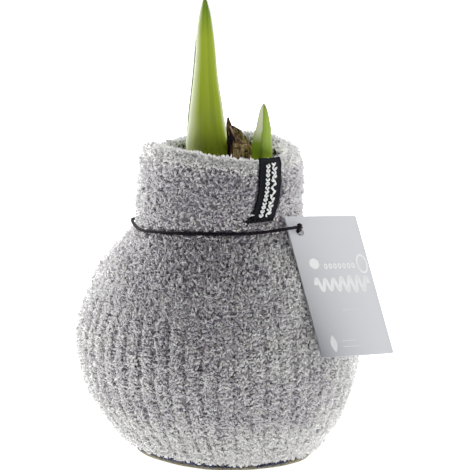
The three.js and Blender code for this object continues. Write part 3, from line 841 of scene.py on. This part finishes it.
# Outlines are [half-width, height], close to the CAD part's but with finer tips
TALL_OUTLINE = [(8.4, 98.3), (8.9, 112), (8.7, 122.5), (6.8, 137), (5, 152), (3.65, 166.5), (2.3, 176),
                (1.55, 179), (0.95, 181.3), (0.3, 182.7)]
TALL_X, TALL_Y = -9.9, 1
TALL_DEPTH = 0.5432  # thickness of one leaf of the pair, as a share of its half-width
TALL_FLARE_REACH, TALL_FLARE_FROM, TALL_FLARE_TO = 1.9, 138, 118
BACK_LEAF_SHIFT, BACK_LEAF_INSET = -0.15, 0.15
BARE_MARGIN = 0.45  # how much of the leaf behind the front one leaves bare half way up its left edge
SHORT_OUTLINE = [(3.9, 98.3), (4.25, 112), (4.1, 123), (3.8, 127.6), (3.35, 130.4), (2.9, 132.6),
                 (2.5, 134.8), (2.1, 136.8), (1.6, 139), (0.95, 140.9), (0.25, 142)]
SHORT_AXIS = [(12, 98), (12.3, 112), (12.7, 123), (12.95, 130.4), (13.3, 131.6)]  # x and height
SHORT_FOOT_Y, SHORT_TIP_Y = -5, -9
SHORT_DEPTH = 0.8
SHORT_KEEL = -0.12  # place of its keel, from -1 at its left edge to 1
LEAF_SIDES, LEAF_ROWS = 60, 90
PALE_WAX_AND_HIGHLIGHT, DRY_TIP = srgb(216, 226, 172), srgb(104, 96, 48)
TALL_HEIGHTS, SHORT_HEIGHTS = (116, 184), (114, 142)  # where a leaf's colours start and end


def leaf_material(name, base, middle, top, heights, stripes_and_painted_light, wax_and_highlight_margins, gloss=0.4):
    """Waxy young leaf: colour up its height, fine veins, broad stripes with painted sheen and shade,
    and pale margins that are partly wax and partly painted highlight and light. stripes_and_painted_light are
    (u, grey) across it; wax_and_highlight_margins are (stops over u, v where it starts, v where it is full)."""
    look = Look(name, middle, gloss, Specular_IOR_Level=0.25, Coat_Weight=0.04, Coat_Roughness=0.25)
    low, high = heights
    rise = look.reach(look.split(look.place())["Z"], low * MM, high * MM)
    body = look.ramp(rise, [(0, base), (0.3, middle), (0.75, middle), (0.93, top), (1, DRY_TIP)])
    place = look.split(look.across())
    veins = look.noise(look.across((46, 1.3, 1)), 1, 2)
    fine = look.ramp(veins, [(0.3, srgb(92, 112, 38)), (0.7, srgb(198, 208, 120))])
    bands = look.noise(look.across((9, 0.8, 1)), 1, 1)
    broad = look.ramp(bands, [(0.35, srgb(100, 120, 30)), (0.7, srgb(190, 204, 110))])
    for share, shades in ((0.3, fine), (0.25, broad), (0.6, look.grey_ramp(place["X"], stripes_and_painted_light))):
        body = look.mix(share, body, shades, "SOFT_LIGHT")
    # pale margins: partly wax, partly painted highlight and painted light
    for stops, start, full in wax_and_highlight_margins:
        wax_and_highlight = look.grey_ramp(place["X"], stops)
        body = look.mix(look.math("MULTIPLY", wax_and_highlight, look.reach(place["Y"], start, full)), body, PALE_WAX_AND_HIGHLIGHT)
    look.colour(body)
    look.bump(veins, 0.00012, 0.8)
    return look.material


def leaf_rows(outline):
    """A leaf's rows, closer together towards its tip: shares of its length, heights and half-widths."""
    share = 1 - (1 - np.linspace(0, 1, LEAF_ROWS)) ** 1.25
    height = outline[0][1] + share * (outline[-1][1] - outline[0][1])
    dense = spline(outline, 200)
    return share, height, np.interp(height, dense[:, 1], dense[:, 0])


def make_blade(node, x, y, height, material):
    """Blade that replaces a leaf of the CAD part. Its u runs from 0 at its left edge to 1 at its right
    edge, on both faces, and its v along its height."""
    rings = stacked(x, y, height[:, None])
    mesh = make_piece(node + "_blade", loft(rings), [material], [node]).data
    index = corner_vertices(mesh)
    u = (1 + np.cos((index % LEAF_SIDES) * 2 * math.pi / LEAF_SIDES)) / 2
    u[index >= LEAF_ROWS * LEAF_SIDES] = 0.5
    set_uv(mesh, u, np.clip(index // LEAF_SIDES / (LEAF_ROWS - 1), 0, 1))


def tall_leaf(node, side, shift, inset, bare_margin, material):
    """One of the pair of leaves that are pressed together; side is -1 in front and 1 behind."""
    share, height, half = leaf_rows(TALL_OUTLINE)
    bare = bare_margin * smoothstep(height, 124, 136) * (1 - smoothstep(height, 160, 172)) / 2
    foot = 0.3 * smoothstep(-height, -134, -125)
    hip = 0.25 * hump(height, 139, 8)
    half = half - inset - bare + foot + hip
    centre = TALL_X + TALL_FLARE_REACH * (1 - smoothstep(height, TALL_FLARE_TO, TALL_FLARE_FROM))
    centre = centre + shift * np.sin(math.pi * share) + bare - foot + hip
    angle = circle(LEAF_SIDES)
    u = np.cos(angle)[None, :]
    full = (1 - np.abs(u) ** 2.5) ** (1 / 2.3)
    flute = 1 - 0.05 * np.cos(u * 7 + 0.6) * full - 0.05 * hump(u, 0.05, 0.16)
    bulge = np.where(np.sin(angle)[None, :] * side > 0.01, full * flute, 0) * half[:, None] * TALL_DEPTH
    x = centre[:, None] + u * half[:, None]
    make_blade(node, x, TALL_Y + side * (GAP / 2 + bulge), height, material)


def short_leaf(material):
    """The young leaf that is still folded along its keel, which faces the front."""
    share, height, half = leaf_rows(SHORT_OUTLINE)
    angle = circle(LEAF_SIDES)
    u, v = np.cos(angle)[None, :], np.sin(angle)[None, :]
    away = np.abs(u - SHORT_KEEL) / np.where(u > SHORT_KEEL, 1 - SHORT_KEEL, 1 + SHORT_KEEL)
    front = (1 - away**1.3) ** 0.8
    bulge = np.where(v < 0, -front, np.sqrt(np.maximum(0, 1 - u * u)) * (1 - 0.22 * np.abs(u)))
    centre, at = np.array(SHORT_AXIS).T
    x = np.interp(height, at, centre)[:, None] + u * half[:, None]
    y = (SHORT_FOOT_Y + (SHORT_TIP_Y - SHORT_FOOT_Y) * share)[:, None] + bulge * half[:, None] * SHORT_DEPTH
    make_blade("short_leaf", x, y, height, material)


def make_shoots():
    # stripes across the front leaf; the light one near its middle is painted sheen
    stripes_and_painted_light = [(0, 0.55), (0.22, 0.62), (0.36, 0.4), (0.48, 0.62), (0.55, 0.42), (0.72, 0.29), (0.84, 0.4),
               (1, 0.52)]
    # margins: left, pale wax with a painted highlight; right, painted light through its lower right edge;
    # painted_light_low_left, painted light on the foot's left
    left = [(0, 0.5), (0.05, 0.8), (0.12, 0.5), (0.2, 0.2), (0.3, 0), (1, 0)]
    right = [(0, 0), (0.92, 0), (0.96, 0.45), (0.99, 0.5), (1, 0.2)]
    painted_light_low_left = [(0, 0), (0.1, 0.26), (0.28, 0.26), (0.42, 0), (1, 0)]
    wax_and_highlight_margins = [(left, 0.99, 0.88), (right, 0.62, 0.45), (painted_light_low_left, 0.4, 0.25)]
    front = leaf_material("leaf_front", srgb(195, 215, 56), srgb(150, 168, 32), srgb(102, 132, 30),
                          TALL_HEIGHTS, stripes_and_painted_light, wax_and_highlight_margins)
    # the back leaf's stripes darken its left edge: painted shade where the front leaf shades it
    back = leaf_material("leaf_back", srgb(110, 132, 34), srgb(116, 140, 38), srgb(132, 154, 40),
                         TALL_HEIGHTS, [(0, 0.1), (0.06, 0.2), (0.14, 0.5), (1, 0.5)], [], 0.6)
    facets = [(0, 0.42), (0.3, 0.5), (0.43, 0.4), (0.47, 0.3), (0.6, 0.42), (0.74, 0.62), (0.86, 0.46),
              (1, 0.6)]
    # painted highlight down the short leaf's left facet
    pale = [(0, 0.3), (0.1, 0.8), (0.2, 1), (0.4, 1), (0.47, 0)]
    small = leaf_material("leaf_short", srgb(182, 208, 58), srgb(132, 160, 20), srgb(118, 140, 22),
                          SHORT_HEIGHTS, facets, [(pale, 0.56, 0.68)])
    tall_leaf("tall_leaf_front", -1, 0, 0, BARE_MARGIN, front)
    tall_leaf("tall_leaf_back", 1, BACK_LEAF_SHIFT, BACK_LEAF_INSET, 0, back)
    short_leaf(small)


# ---- Bulb ----

BROWN, OLIVE, PINK, GOLD, DARK_AND_SHADOW = range(5)  # numbers of the tunic's colours; the last is near black, for dark edges and painted shadow
CROWN_RADIUS, CROWN_HEIGHT = 18, 111.2
LAYER = 1.3  # thickness of the cut layers that show on the crown
SCALE_RINGS = [(0, 11, 22.2, 115.5), (20, 9, 17, 116), (40, 8, 11.5, 117)]  # first, number, radius, top
RING_SCALE_REACH = 6.7932  # half the width of one of their scales
RING_UNEVEN = 2.6  # their tops differ from the mean by up to this in height
ROOMS = [  # ellipses left free for the shoots and the withered tips: middle in x and y, reach in x and y
    (-8, 1, 13.5, 9.5), (12.2, -5, 9, 9), (5, -3, 9, 9),
]
WITHIN_ROOMS = 20  # scales that stand further out than this are kept all the same


def tunic_material(name, dark, middle, light, spots=0.5, scale=900):
    """Dry papery scale: fibres in three browns, with blotches of the same browns."""
    look = Look(name, middle, 0.6, Specular_IOR_Level=0.25)
    fibres = look.noise(look.across((26, 2.2, 1)), 1, 4, 0.6)
    patches = look.noise(look.place((1, 1, 0.6)), scale, 3)
    brown = look.ramp(fibres, [(0.28, dark), (0.5, middle), (0.72, light)])
    stain = look.ramp(patches, [(0.38, dark), (0.5, middle), (0.64, light)])
    look.colour(look.mix(spots, brown, stain))
    look.roughness(fibres, 0.45, 0.8)
    look.bump(fibres, 0.0006)
    return look.material


def tunic_materials():
    return [tunic_material("dry_brown", srgb(62, 40, 30), srgb(122, 88, 54), srgb(170, 134, 84)),
            tunic_material("dry_olive", srgb(60, 46, 26), srgb(158, 138, 86), srgb(216, 200, 146), 0.7),
            tunic_material("dry_pink", srgb(84, 52, 46), srgb(146, 114, 102), srgb(184, 156, 140), 0.8),
            tunic_material("dry_gold", srgb(88, 50, 36), srgb(196, 168, 116), srgb(244, 232, 180), 0.7, 650),
            # near-black brown: dark rolled edges, and painted shadow in the cleft between the withered tips
            tunic_material("dry_dark_and_painted_shadow", srgb(10, 8, 8), srgb(34, 22, 26), srgb(62, 44, 40), 0.5)]


def dry_sheet(bottom, top, bulge, folds, seed, thickness=0.4, size=(46, 40), ragged=0.8):
    """Thin crumpled sheet between a foot line and a top line; folds are (number, slant, depth)."""
    across, up = size
    u, v = np.linspace(0, 1, across)[None, :], np.linspace(0, 1, up)[:, None]
    foot, crest = spline(bottom, across)[None], spline(top, across)[None]
    out = unit(np.cross(crest.mean(1) - foot.mean(1), foot[:, -1] - foot[:, 0]))[0]
    out = -out if out[1] > 0 else out
    rag = ragged * lattice_noise(stacked(u * 14, 0 * u, 0 * u), seed + 1)[0]
    reach = v + rag[None, :] * v**3 / np.maximum(np.linalg.norm(crest - foot, axis=2), 1)
    sheet = foot * (1 - reach[..., None]) + crest * reach[..., None]
    depth = bulge * np.sin(math.pi * u) * (0.4 + 0.6 * np.sin(math.pi * v * 0.8))
    for number, slant, height in folds:
        depth = depth + height * np.sin(2 * math.pi * (number * u + slant * v) + seed)
    places = stacked(u * 9, v * 5, 0 * u)
    depth = depth + 0.4 * lattice_noise(places, seed) + 0.22 * lattice_noise(places * 2.7, seed + 2)
    thin = thickness * (1 - 0.6 * v) / 2
    front = sheet + out * (depth + thin)[..., None]
    back = sheet + out * (depth - thin)[..., None]
    rings = np.concatenate([front, back[:, ::-1]], 1)
    if out @ np.cross(foot[0, -1] - foot[0, 0], crest[0].mean(0) - foot[0].mean(0)) > 0:
        return loft(rings)
    return loft(rings[:, ::-1])


def ring_scale(index, azimuth, radius, top):
    """One of the broken scale ends that stand in rings on the top of the neck."""
    top += RING_UNEVEN * math.sin(2.4 * index)
    lean = radius + 0.6 + 0.8 * np.random.default_rng(300 + index).uniform(-1, 1)
    foot, crest = [], []
    for share, rise in zip(np.linspace(-1, 1, 7), (0.1, 0.5, 0.8, 1, 0.85, 0.55, 0.15)):
        a = azimuth + share * RING_SCALE_REACH / radius
        foot.append((axis_x(104) + radius * math.cos(a), radius * math.sin(a), 103.5))
        out = lean - 1.6 * rise
        crest.append((axis_x(top) + out * math.cos(a), out * math.sin(a), 106 + (top - 106) * rise))
    return dry_sheet(foot, crest, 0.3, [(3, 0.4, 0.25)], 40 + index, 0.5, (20, 14), 0.9)


def ring_scales():
    """Three rings of them, with room left for the shoots and the withered tips."""
    scales = []
    for start, count, radius, top in SCALE_RINGS:
        for k in range(count):
            azimuth = 2 * math.pi * (k + start + 0.3 * (k % 2)) / count
            x, y = axis_x(108) + radius * math.cos(azimuth), radius * math.sin(azimuth)
            taken = any(math.hypot((x - a) / wide, (y - b) / deep) < 1 for a, b, wide, deep in ROOMS)
            if radius > WITHIN_ROOMS or not taken:
                scales.append((ring_scale(k + start, azimuth, radius, top), BROWN))
    return scales


def crumpled_edge(points, radius):
    """Rolled edge of a scale as a thin uneven tube."""
    path = spline(points, 40)
    rough = lattice_noise(path * 1.3, 91)
    return tube(path + 0.12 * rough[:, None], radius * (1 + 0.3 * rough), 7)


def withered_tips():
    """The dry scale ends between the shoots, each with the number of its colour."""
    flap = [(0.2, -2.4, 132.4), (2.3, -2.4, 131.4), (4, -2.4, 130.4), (4.8, -2.4, 129.3), (5.7, -2.4, 128.3),
            (6.5, -2.3, 126.8), (8, -2.2, 124.8), (9, -2, 123.6)]
    ridge = [(0, -3.7, 132.2), (0.9, -3.9, 130.1), (1.8, -4.1, 128.4), (3.7, -4.2, 126.7), (5.4, -4.2, 125.2),
             (7.3, -4, 124.6)]
    lip = [(1, -4.7, 125.6), (2.8, -4.8, 126.2), (4, -4.9, 125.7), (5.2, -5, 124.9), (7.2, -4.8, 124.4),
           (8.8, -4.2, 123.6)]
    fold = [(1.1, -5.2, 123.8), (3.2, -5.8, 123.6), (5, -5.9, 122.2), (7.2, -5.5, 122.6)]
    left = [(-0.9, -2.8, 135.6), (-1.1, -2.8, 134.1), (-1.3, -2.8, 132.8), (-1.3, -2.9, 131),
            (-1.1, -3, 128.5)]
    right = [(-0.6, -2.9, 135.6), (-0.1, -2.9, 134.1), (0.35, -3, 132.8), (0.6, -3.1, 131.3),
             (0.7, -3.2, 129.3)]
    back = dry_sheet([(0.2, -0.6, 110), (3, -1.2, 109.5), (6, -1.2, 109.5), (9.6, -0.4, 110)], flap,
                     0.7, [(1.6, -2.1, 0.3), (5.2, -4.5, 0.16)], 51, 0.5, (56, 46), 0.4)
    front = dry_sheet([(1.4, -4.9, 118), (3.4, -5.9, 116), (6.4, -5.8, 116), (9.2, -4.6, 117)], lip,
                      0.7, [(2.3, -0.8, 0.3), (5.5, 2, 0.14)], 54, 0.5, (50, 36), 0.7)
    shred = dry_sheet([(-0.2, -4.2, 117), (0.8, -4.5, 117), (1.8, -4.8, 117)],
                      [(0.1, -4.1, 123.4), (0.9, -4.5, 124.9), (1.6, -4.7, 123.2)],
                      0.2, [(1.5, -0.8, 0.2)], 57, size=(16, 20), ragged=0.6)
    # dark sheet that paints the shadow in the cleft behind the withered tips
    painted_shadow_sheet = dry_sheet([(-1.4, -2.6, 110), (1, -3.2, 110), (3.4, -3.4, 110)],
                      [(-1, -2.9, 132), (0.3, -3.3, 130.8), (1.6, -3.6, 128.4), (2.8, -3.8, 126.6)],
                      0.2, [(1.4, -1.2, 0.25)], 53, size=(26, 36), ragged=0.2)
    slope = dry_sheet([(1.2, -2.9, 117), (4, -3.2, 116), (8.4, -3.2, 116)],
                      [(0.4, -3.4, 131.2), (2.4, -3.7, 128.2), (4.6, -3.9, 126.2), (8, -3.6, 124.4)],
                      0.4, [(2.4, -1.4, 0.25)], 55, size=(36, 30), ragged=0.3)
    wisp = dry_sheet([(-1.4, -2.7, 125), (0.1, -2.8, 125), (1.6, -2.9, 125)],
                     [(-1.05, -2.7, 135.5), (-0.75, -2.75, 135.8), (-0.4, -2.8, 135.4)],
                     0.2, [(1.5, 0.7, 0.1)], 52, size=(18, 36), ragged=0.1)
    sheets = [(back, OLIVE), (front, GOLD), (shred, BROWN), (painted_shadow_sheet, DARK_AND_SHADOW), (slope, OLIVE), (wisp, BROWN)]
    edges = [(flap, 0.34, DARK_AND_SHADOW), (ridge, 0.38, PINK), (lip, 0.36, BROWN), (fold, 0.36, BROWN),
             (left, 0.24, DARK_AND_SHADOW), (right, 0.26, DARK_AND_SHADOW)]
    return sheets + [(crumpled_edge(points, radius), colour) for points, radius, colour in edges]


def bulb_body():
    """Body of the bulb inside the cover, its neck and the cut layers of its crown."""
    angle = circle(96)
    body = [(r - BODY_WALL - GAP, h) for r, h in spline(BODY_OUTLINE, 24)]
    crown = np.linspace(CROWN_RADIUS, 0.5, 60)
    layers = CROWN_HEIGHT + 1.1 * (1 - crown / CROWN_RADIUS) + 0.45 * np.abs((crown / (2 * LAYER)) % 2 - 1)
    outline = np.vstack([(0.5, BODY_OUTLINE[0][1]), body, spline(NECK_OUTLINE, 24), stacked(crown, layers)])
    radius, height = outline[:, :1], outline[:, 1:]
    radius = radius * (1 - 0.006 * np.cos(angle * 23 + 2 * np.sin(height / 9)))
    return loft(stacked(axis_x(height) + radius * np.cos(angle), radius * np.sin(angle), height))


def make_bulb():
    """Bulb in its papery skin, its broken scale ends and the withered tips between the shoots."""
    shapes, colours = zip((bulb_body(), BROWN), *ring_scales(), *withered_tips())
    which = np.repeat(colours, [len(triangles) for _, triangles in shapes])
    shape = join(shapes)
    mesh = make_piece("bulb_tunic", shape, tunic_materials(), ["bulb"], which=which).data
    x, y, z = shape[0][corner_vertices(mesh)].T
    across = x - axis_x(z)
    set_uv(mesh, np.arctan2(y, across) / (2 * math.pi) * np.hypot(across, y) / 3 + x / 12, z / 20)


# ---- Woven label ----

WARP_PITCH, WEFT_PITCH = 0.8, 0.62
VINE_PITCH = 3.9
LEAVES, DIAMONDS = 14, 13
VINE_X, DIAMONDS_X = 1.3, -1.7
THREAD_RADIUS = 0.28
PRINT_LIFT = LABEL_THICKNESS + 0.12
FOOT_STITCHES, LOOSE_ENDS = 15, 16


def ribbon_thread(x, y, lift, radius):
    return tube(on_label(x, y, lift), radius)


def make_label_ribbon():
    """Black ribbon with woven ribs and firm selvedges."""
    look = Look("black_ribbon", srgb(13, 14, 18), 0.75, Specular_IOR_Level=0.08)
    grain = look.noise(look.place(), 3200, 2)
    look.colour(look.ramp(grain, [(0.3, srgb(5, 6, 9)), (0.75, srgb(20, 21, 28))]))
    look.bump(grain, 0.0001)
    y = np.linspace(0, 1, 100)[:, None]
    x = np.linspace(-0.5, 0.5, 26)[None, :] * LABEL_WIDTH
    edge = smoothstep(np.abs(x) / LABEL_WIDTH, 0.44, 0.47)
    weave = 0.05 * np.sin(y * LABEL_LENGTH * 2 * math.pi / WEFT_PITCH) * np.cos(x * 2 * math.pi / WARP_PITCH)
    bow = 0.12 * np.sin(y * 9 + 1) * np.cos(x * 0.5)
    face = on_label(x, y, LABEL_THICKNESS + weave + 0.12 * edge + bow)
    under = on_label(x, y, 0.1 + bow)
    shape = loft(np.concatenate([face, under[:, ::-1]], 1))
    make_piece("label_ribbon", shape, [look.material], ["woven_label"])


def make_label_ornament():
    """Generic ornament of pale threads: a vine with leaves, and open diamonds beside it."""
    look = Look("pale_thread", srgb(250, 250, 248), 0.7)
    along = np.linspace(0.08, 0.93, 130)
    vine = VINE_X + 0.7 * np.sin(along * LABEL_LENGTH * 2 * math.pi / VINE_PITCH)
    threads = [ribbon_thread(vine, along, PRINT_LIFT, THREAD_RADIUS)]
    leaf = np.linspace(0, 1, 6)
    for k in range(LEAVES):
        at = 0.09 + 0.84 * (k + 0.5) / LEAVES + 0.03 * leaf
        reach = (0.1 + 1.1 * leaf) * (-1 if k % 2 else 1)
        width = 0.14 + 0.28 * np.sin(math.pi * (0.1 + 0.8 * leaf))
        threads.append(ribbon_thread(VINE_X + reach, at, PRINT_LIFT, width))
    diamond = np.array([(0, 1), (0.75, 0), (0, -1), (-0.75, 0), (0, 1)])
    for k in range(DIAMONDS):
        x, y = at_shares(diamond, np.linspace(0.05 + 0.1 * (k % 2), 0.84 + 0.08 * (k % 3), 13)).T
        at = 0.08 + 0.85 * (k + 0.5) / DIAMONDS + y * 0.72 / LABEL_LENGTH
        threads.append(ribbon_thread(DIAMONDS_X + x, at, PRINT_LIFT, THREAD_RADIUS))
    make_piece("label_ornament", join(threads), [look.material])


def make_label_stitches():
    """Row of stitches over the ribbon's foot, and loose ends that stand out at its left."""
    look = Look("black_thread", srgb(12, 12, 15), 0.7, Specular_IOR_Level=0.15)
    rng = np.random.default_rng(61)
    line = np.linspace(0, 1, 6)
    stitches = []
    for k in range(FOOT_STITCHES):
        x = -LABEL_WIDTH / 2 + 0.3 + k * (LABEL_WIDTH - 0.6) / (FOOT_STITCHES - 1)
        x = x + (0.45 if k % 2 else -0.2) * line
        lift = LABEL_THICKNESS - 0.1 + 0.4 * np.sin(math.pi * line)
        stitches.append(ribbon_thread(x, 0.005 + 0.055 * line, lift, 0.2))
    for _ in range(LOOSE_ENDS):
        x = -LABEL_WIDTH / 2 - rng.uniform(-0.6, 1.5)
        y = rng.uniform(-0.01, 0.06)
        lift = 0.3 + rng.uniform(0.3, 0.9) * np.sin(math.pi * line)
        x, y = x + rng.uniform(-1, 1) * line, y + rng.uniform(-0.05, 0.05) * line
        stitches.append(ribbon_thread(x, y, lift, 0.24))
    make_piece("label_stitches", join(stitches), [look.material])


# ---- Cord ----

PLIES, PLY_RADIUS, PLY_LAY, PLY_PITCH = 3, 0.4, 0.32, 4.4


def knot_shapes():
    """Two coils of cord wound over each other, and two short ends."""
    coil = np.linspace(0, 2 * math.pi * 2.4, 60)
    shapes = []
    for tilt, size in ((0.3, 0.8), (1.7, 0.7)):
        wrap_up = np.sin(coil) * math.cos(tilt) + 0.35 * np.cos(0.4 * coil)
        wrap_out = 0.8 * np.sin(coil) * math.sin(tilt) + 0.3 * np.sin(0.8 * coil)
        shapes.append(tube(KNOT + size * stacked(np.cos(coil), wrap_up, wrap_out) @ TAG_AXES.T, 0.44, 8))
    for way in ((1.5, -0.3, -0.2), (1.2, 0.7, 0.2)):
        end = np.linspace(0, 1, 8)[:, None] * np.array(way)
        shapes.append(tube(KNOT + end @ TAG_AXES.T, 0.45, 8))
    return shapes


def make_cord():
    """Three waxed plies laid round each other, and the knot over the hole of the card."""
    look = Look("waxed_cord", srgb(16, 11, 17), 0.6, Specular_IOR_Level=0.08)
    fleck = look.noise(look.place(), 1500, 2)
    look.colour(look.ramp(fleck, [(0.35, srgb(8, 5, 9)), (0.62, srgb(18, 12, 20)), (0.8, srgb(42, 33, 38))]))
    path = at_shares(CORD_PATH, np.linspace(0, 1, 420))
    across, up = frames_along(path)
    turn = length_along(path) * 2 * math.pi / PLY_PITCH
    shapes = []
    for start in circle(PLIES):
        a = (turn + start)[:, None]
        shapes.append(tube(path + PLY_LAY * (across * np.cos(a) + up * np.sin(a)), PLY_RADIUS))
    make_piece("cord_twist", join(shapes + knot_shapes()), [look.material], ["neck_cord"])


# ---- Hang tag ----

INK_SINK, INK_LIFT = 0.02, 0.06  # how far the ink goes into the card's face and stands out of it


def card_material():
    """Coated board with a painted reflection: light grey that fades to dark grey towards its lower left
    corner.
    """
    look = Look("coated_card", srgb(206, 208, 213), 0.45, Specular_IOR_Level=0.4)
    fibre = look.noise(look.place(), 420, 4, 0.6)
    hole = tuple(c * MM for c in TAG_HOLE_PLACE)
    place = look.node("ShaderNodeVectorMath", {0: look.place(), 1: hole}, operation="SUBTRACT").outputs[0]
    shares = []
    for axis, start, end, low in ((0, 31, -5, 0.0), (1, 0, -51, 0.35)):
        inputs = {0: place, 1: tuple(TAG_AXES[:, axis])}
        along = look.node("ShaderNodeVectorMath", inputs, operation="DOT_PRODUCT").outputs["Value"]
        shares.append(look.reach(along, start * MM, end * MM, low))
    # painted reflection: the board's colour darkens towards its lower left corner
    painted_reflection_fade = look.math("MULTIPLY", look.math("POWER", shares[0], 2.0), shares[1])
    painted_reflection = look.mix(painted_reflection_fade, srgb(218, 221, 228), srgb(86, 88, 97))
    board = look.ramp(fibre, [(0.3, srgb(188, 190, 197)), (0.7, srgb(214, 216, 221))])
    look.colour(look.mix(0.06, painted_reflection, board))
    look.bump(fibre, 0.00003, 0.6)
    return look.material


def printed_line(right, up, width):
    """Flat line of ink through points on the card."""
    middle = stacked(right, up)
    tangent = unit(np.gradient(middle, axis=0))
    side = np.stack([-tangent[:, 1], tangent[:, 0]], -1) * width / 2
    low, high = TAG_THICKNESS / 2 - INK_SINK, TAG_THICKNESS / 2 + INK_LIFT
    ring = [(middle - side, low), (middle + side, low), (middle + side, high), (middle - side, high)]
    return loft(np.stack([from_tag_hole(p[:, 0], p[:, 1], h) for p, h in ring], 1))


def printed_ring(right, up, half_width, half_height, width):
    turn = 2 * math.pi * np.linspace(0, 1, 200)
    return printed_line(right + half_width * np.cos(turn), up + half_height * np.sin(turn), width)


def make_tag():
    """The CAD card in coated board, with a plain generic print in white ink on its face."""
    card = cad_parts["hang_tag"]
    card.data.materials.clear()
    card.data.materials.append(card_material())

    t = np.linspace(0, 1, 200)
    s = np.linspace(0, 1, 40)
    turn = 2 * math.pi * t
    wave = 2.6 * np.sin(turn * 6.5) * (1 - 0.2 * np.sin(turn))
    large = [printed_line(0.9 + 27.2 * t, -22.6 + wave, 1.6), printed_ring(27.4, -14.3, 2.5, 3.7, 0.85)]
    large += [printed_ring(8.4 + 2.35 * k, -14.9, 0.62, 0.9, 0.62) for k in range(7)]
    oval = 4.6 * np.sin(math.pi * (0.04 + 0.92 * s))[:, None] ** 0.6
    large.append(printed_line(0.5 + 4.8 * s, -13.7, oval))
    ink = Look("white_ink", srgb(250, 251, 252), 0.5)
    make_piece("tag_print", join(large), [ink.material], smooth=False)

    small = [printed_line(10.8 + 8.1 * t, -33.1 + 0.5 * np.sin(turn * 9), 0.4)]
    small += [printed_line(6.5 + reach * t, -46.0 - 2.4 * k, 0.35) for k, reach in enumerate((7, 8.5))]
    small.append(printed_line(2, -50.4 + 6.8 * s, 3.2 * np.sin(math.pi * (0.03 + 0.94 * s))[:, None]))
    faint = Look("faint_ink", srgb(222, 224, 228), 0.5)
    make_piece("tag_small_print", join(small), [faint.material], smooth=False)


# ---- Stage, light and camera ----

FLOOR_REACH = 6
TONE_WHITE = 1.5  # light that shows as pure white
TONE_POINTS = [(0.3, 0.3), (0.6, 0.49), (0.9, 0.63), (1.2, 0.78)]  # light and what it shows as
CAMERA_PLACE = (0.002, -0.890, 0.262)
CAMERA_PITCH = 11.1  # how far it looks down, in degrees
LENS = 172.34


def make_stage():
    look = Look("pale_floor", (0.8, 0.8, 0.8, 1), 0.9, Emission_Color=(1, 1, 1, 1), Emission_Strength=1.55)
    mesh = bpy.data.meshes.new("floor")
    corners = [(x * FLOOR_REACH, y * FLOOR_REACH, 0) for x, y in ((-1, -1), (1, -1), (1, 1), (-1, 1))]
    mesh.from_pydata(corners, [], [(0, 1, 2, 3)])
    mesh.materials.append(look.material)
    floor = add_object("floor", mesh)


def softbox(name, place, size, power, aim=(0, 0, 0.07)):
    data = bpy.data.lights.new(name, "AREA")
    data.shape = "RECTANGLE"
    data.size, data.size_y = size
    data.energy = power
    light = add_object(name, data)
    light.location = place
    light.rotation_euler = (Vector(aim) - Vector(place)).to_track_quat("-Z", "Y").to_euler()


def make_light():
    """Lit white table, broad lights behind both sides, a strip at the left and a weak light above."""
    softbox("left", (-0.64, 0.64, 0.5), (1.3, 1.0), 30)
    softbox("left_strip", (-0.7, -0.05, 0.25), (0.06, 0.5), 1.3, (0, 0, 0.13))
    softbox("right", (0.8, 0.42, 0.5), (1.3, 1.0), 18)
    softbox("above", (0, 0.1, 0.9), (0.9, 0.7), 1.4)
    world = bpy.data.worlds.new("studio")
    world.use_nodes = True
    sky = world.node_tree.nodes["Background"]
    sky.inputs["Color"].default_value = (1, 1, 1, 1)
    sky.inputs["Strength"].default_value = 0.03
    bpy.context.scene.world = world


def set_tones():
    """Camera response: straight in the shadows, with highlights that roll off softly up to white."""
    view = bpy.context.scene.view_settings
    view.view_transform = "Standard"
    view.use_curve_mapping = True
    view.curve_mapping.white_level = (TONE_WHITE, TONE_WHITE, TONE_WHITE)
    curve = view.curve_mapping.curves[3]
    for light, shown in TONE_POINTS:
        curve.points.new(light / TONE_WHITE, shown)
    view.curve_mapping.update()


def make_camera():
    data = bpy.data.cameras.new("camera")
    data.sensor_width = 36
    data.lens = LENS
    data.clip_start, data.clip_end = 0.05, 50
    camera = add_object("camera", data)
    camera.location = CAMERA_PLACE
    camera.rotation_euler = (math.radians(90 - CAMERA_PITCH), 0, 0)
    bpy.context.scene.camera = camera


make_camera()
make_stage()
make_light()
set_tones()
make_sole()
make_sole_seam()
make_knit()
make_bulb()
make_shoots()
make_label_ribbon()
make_label_ornament()
make_label_stitches()
make_cord()
make_tag()
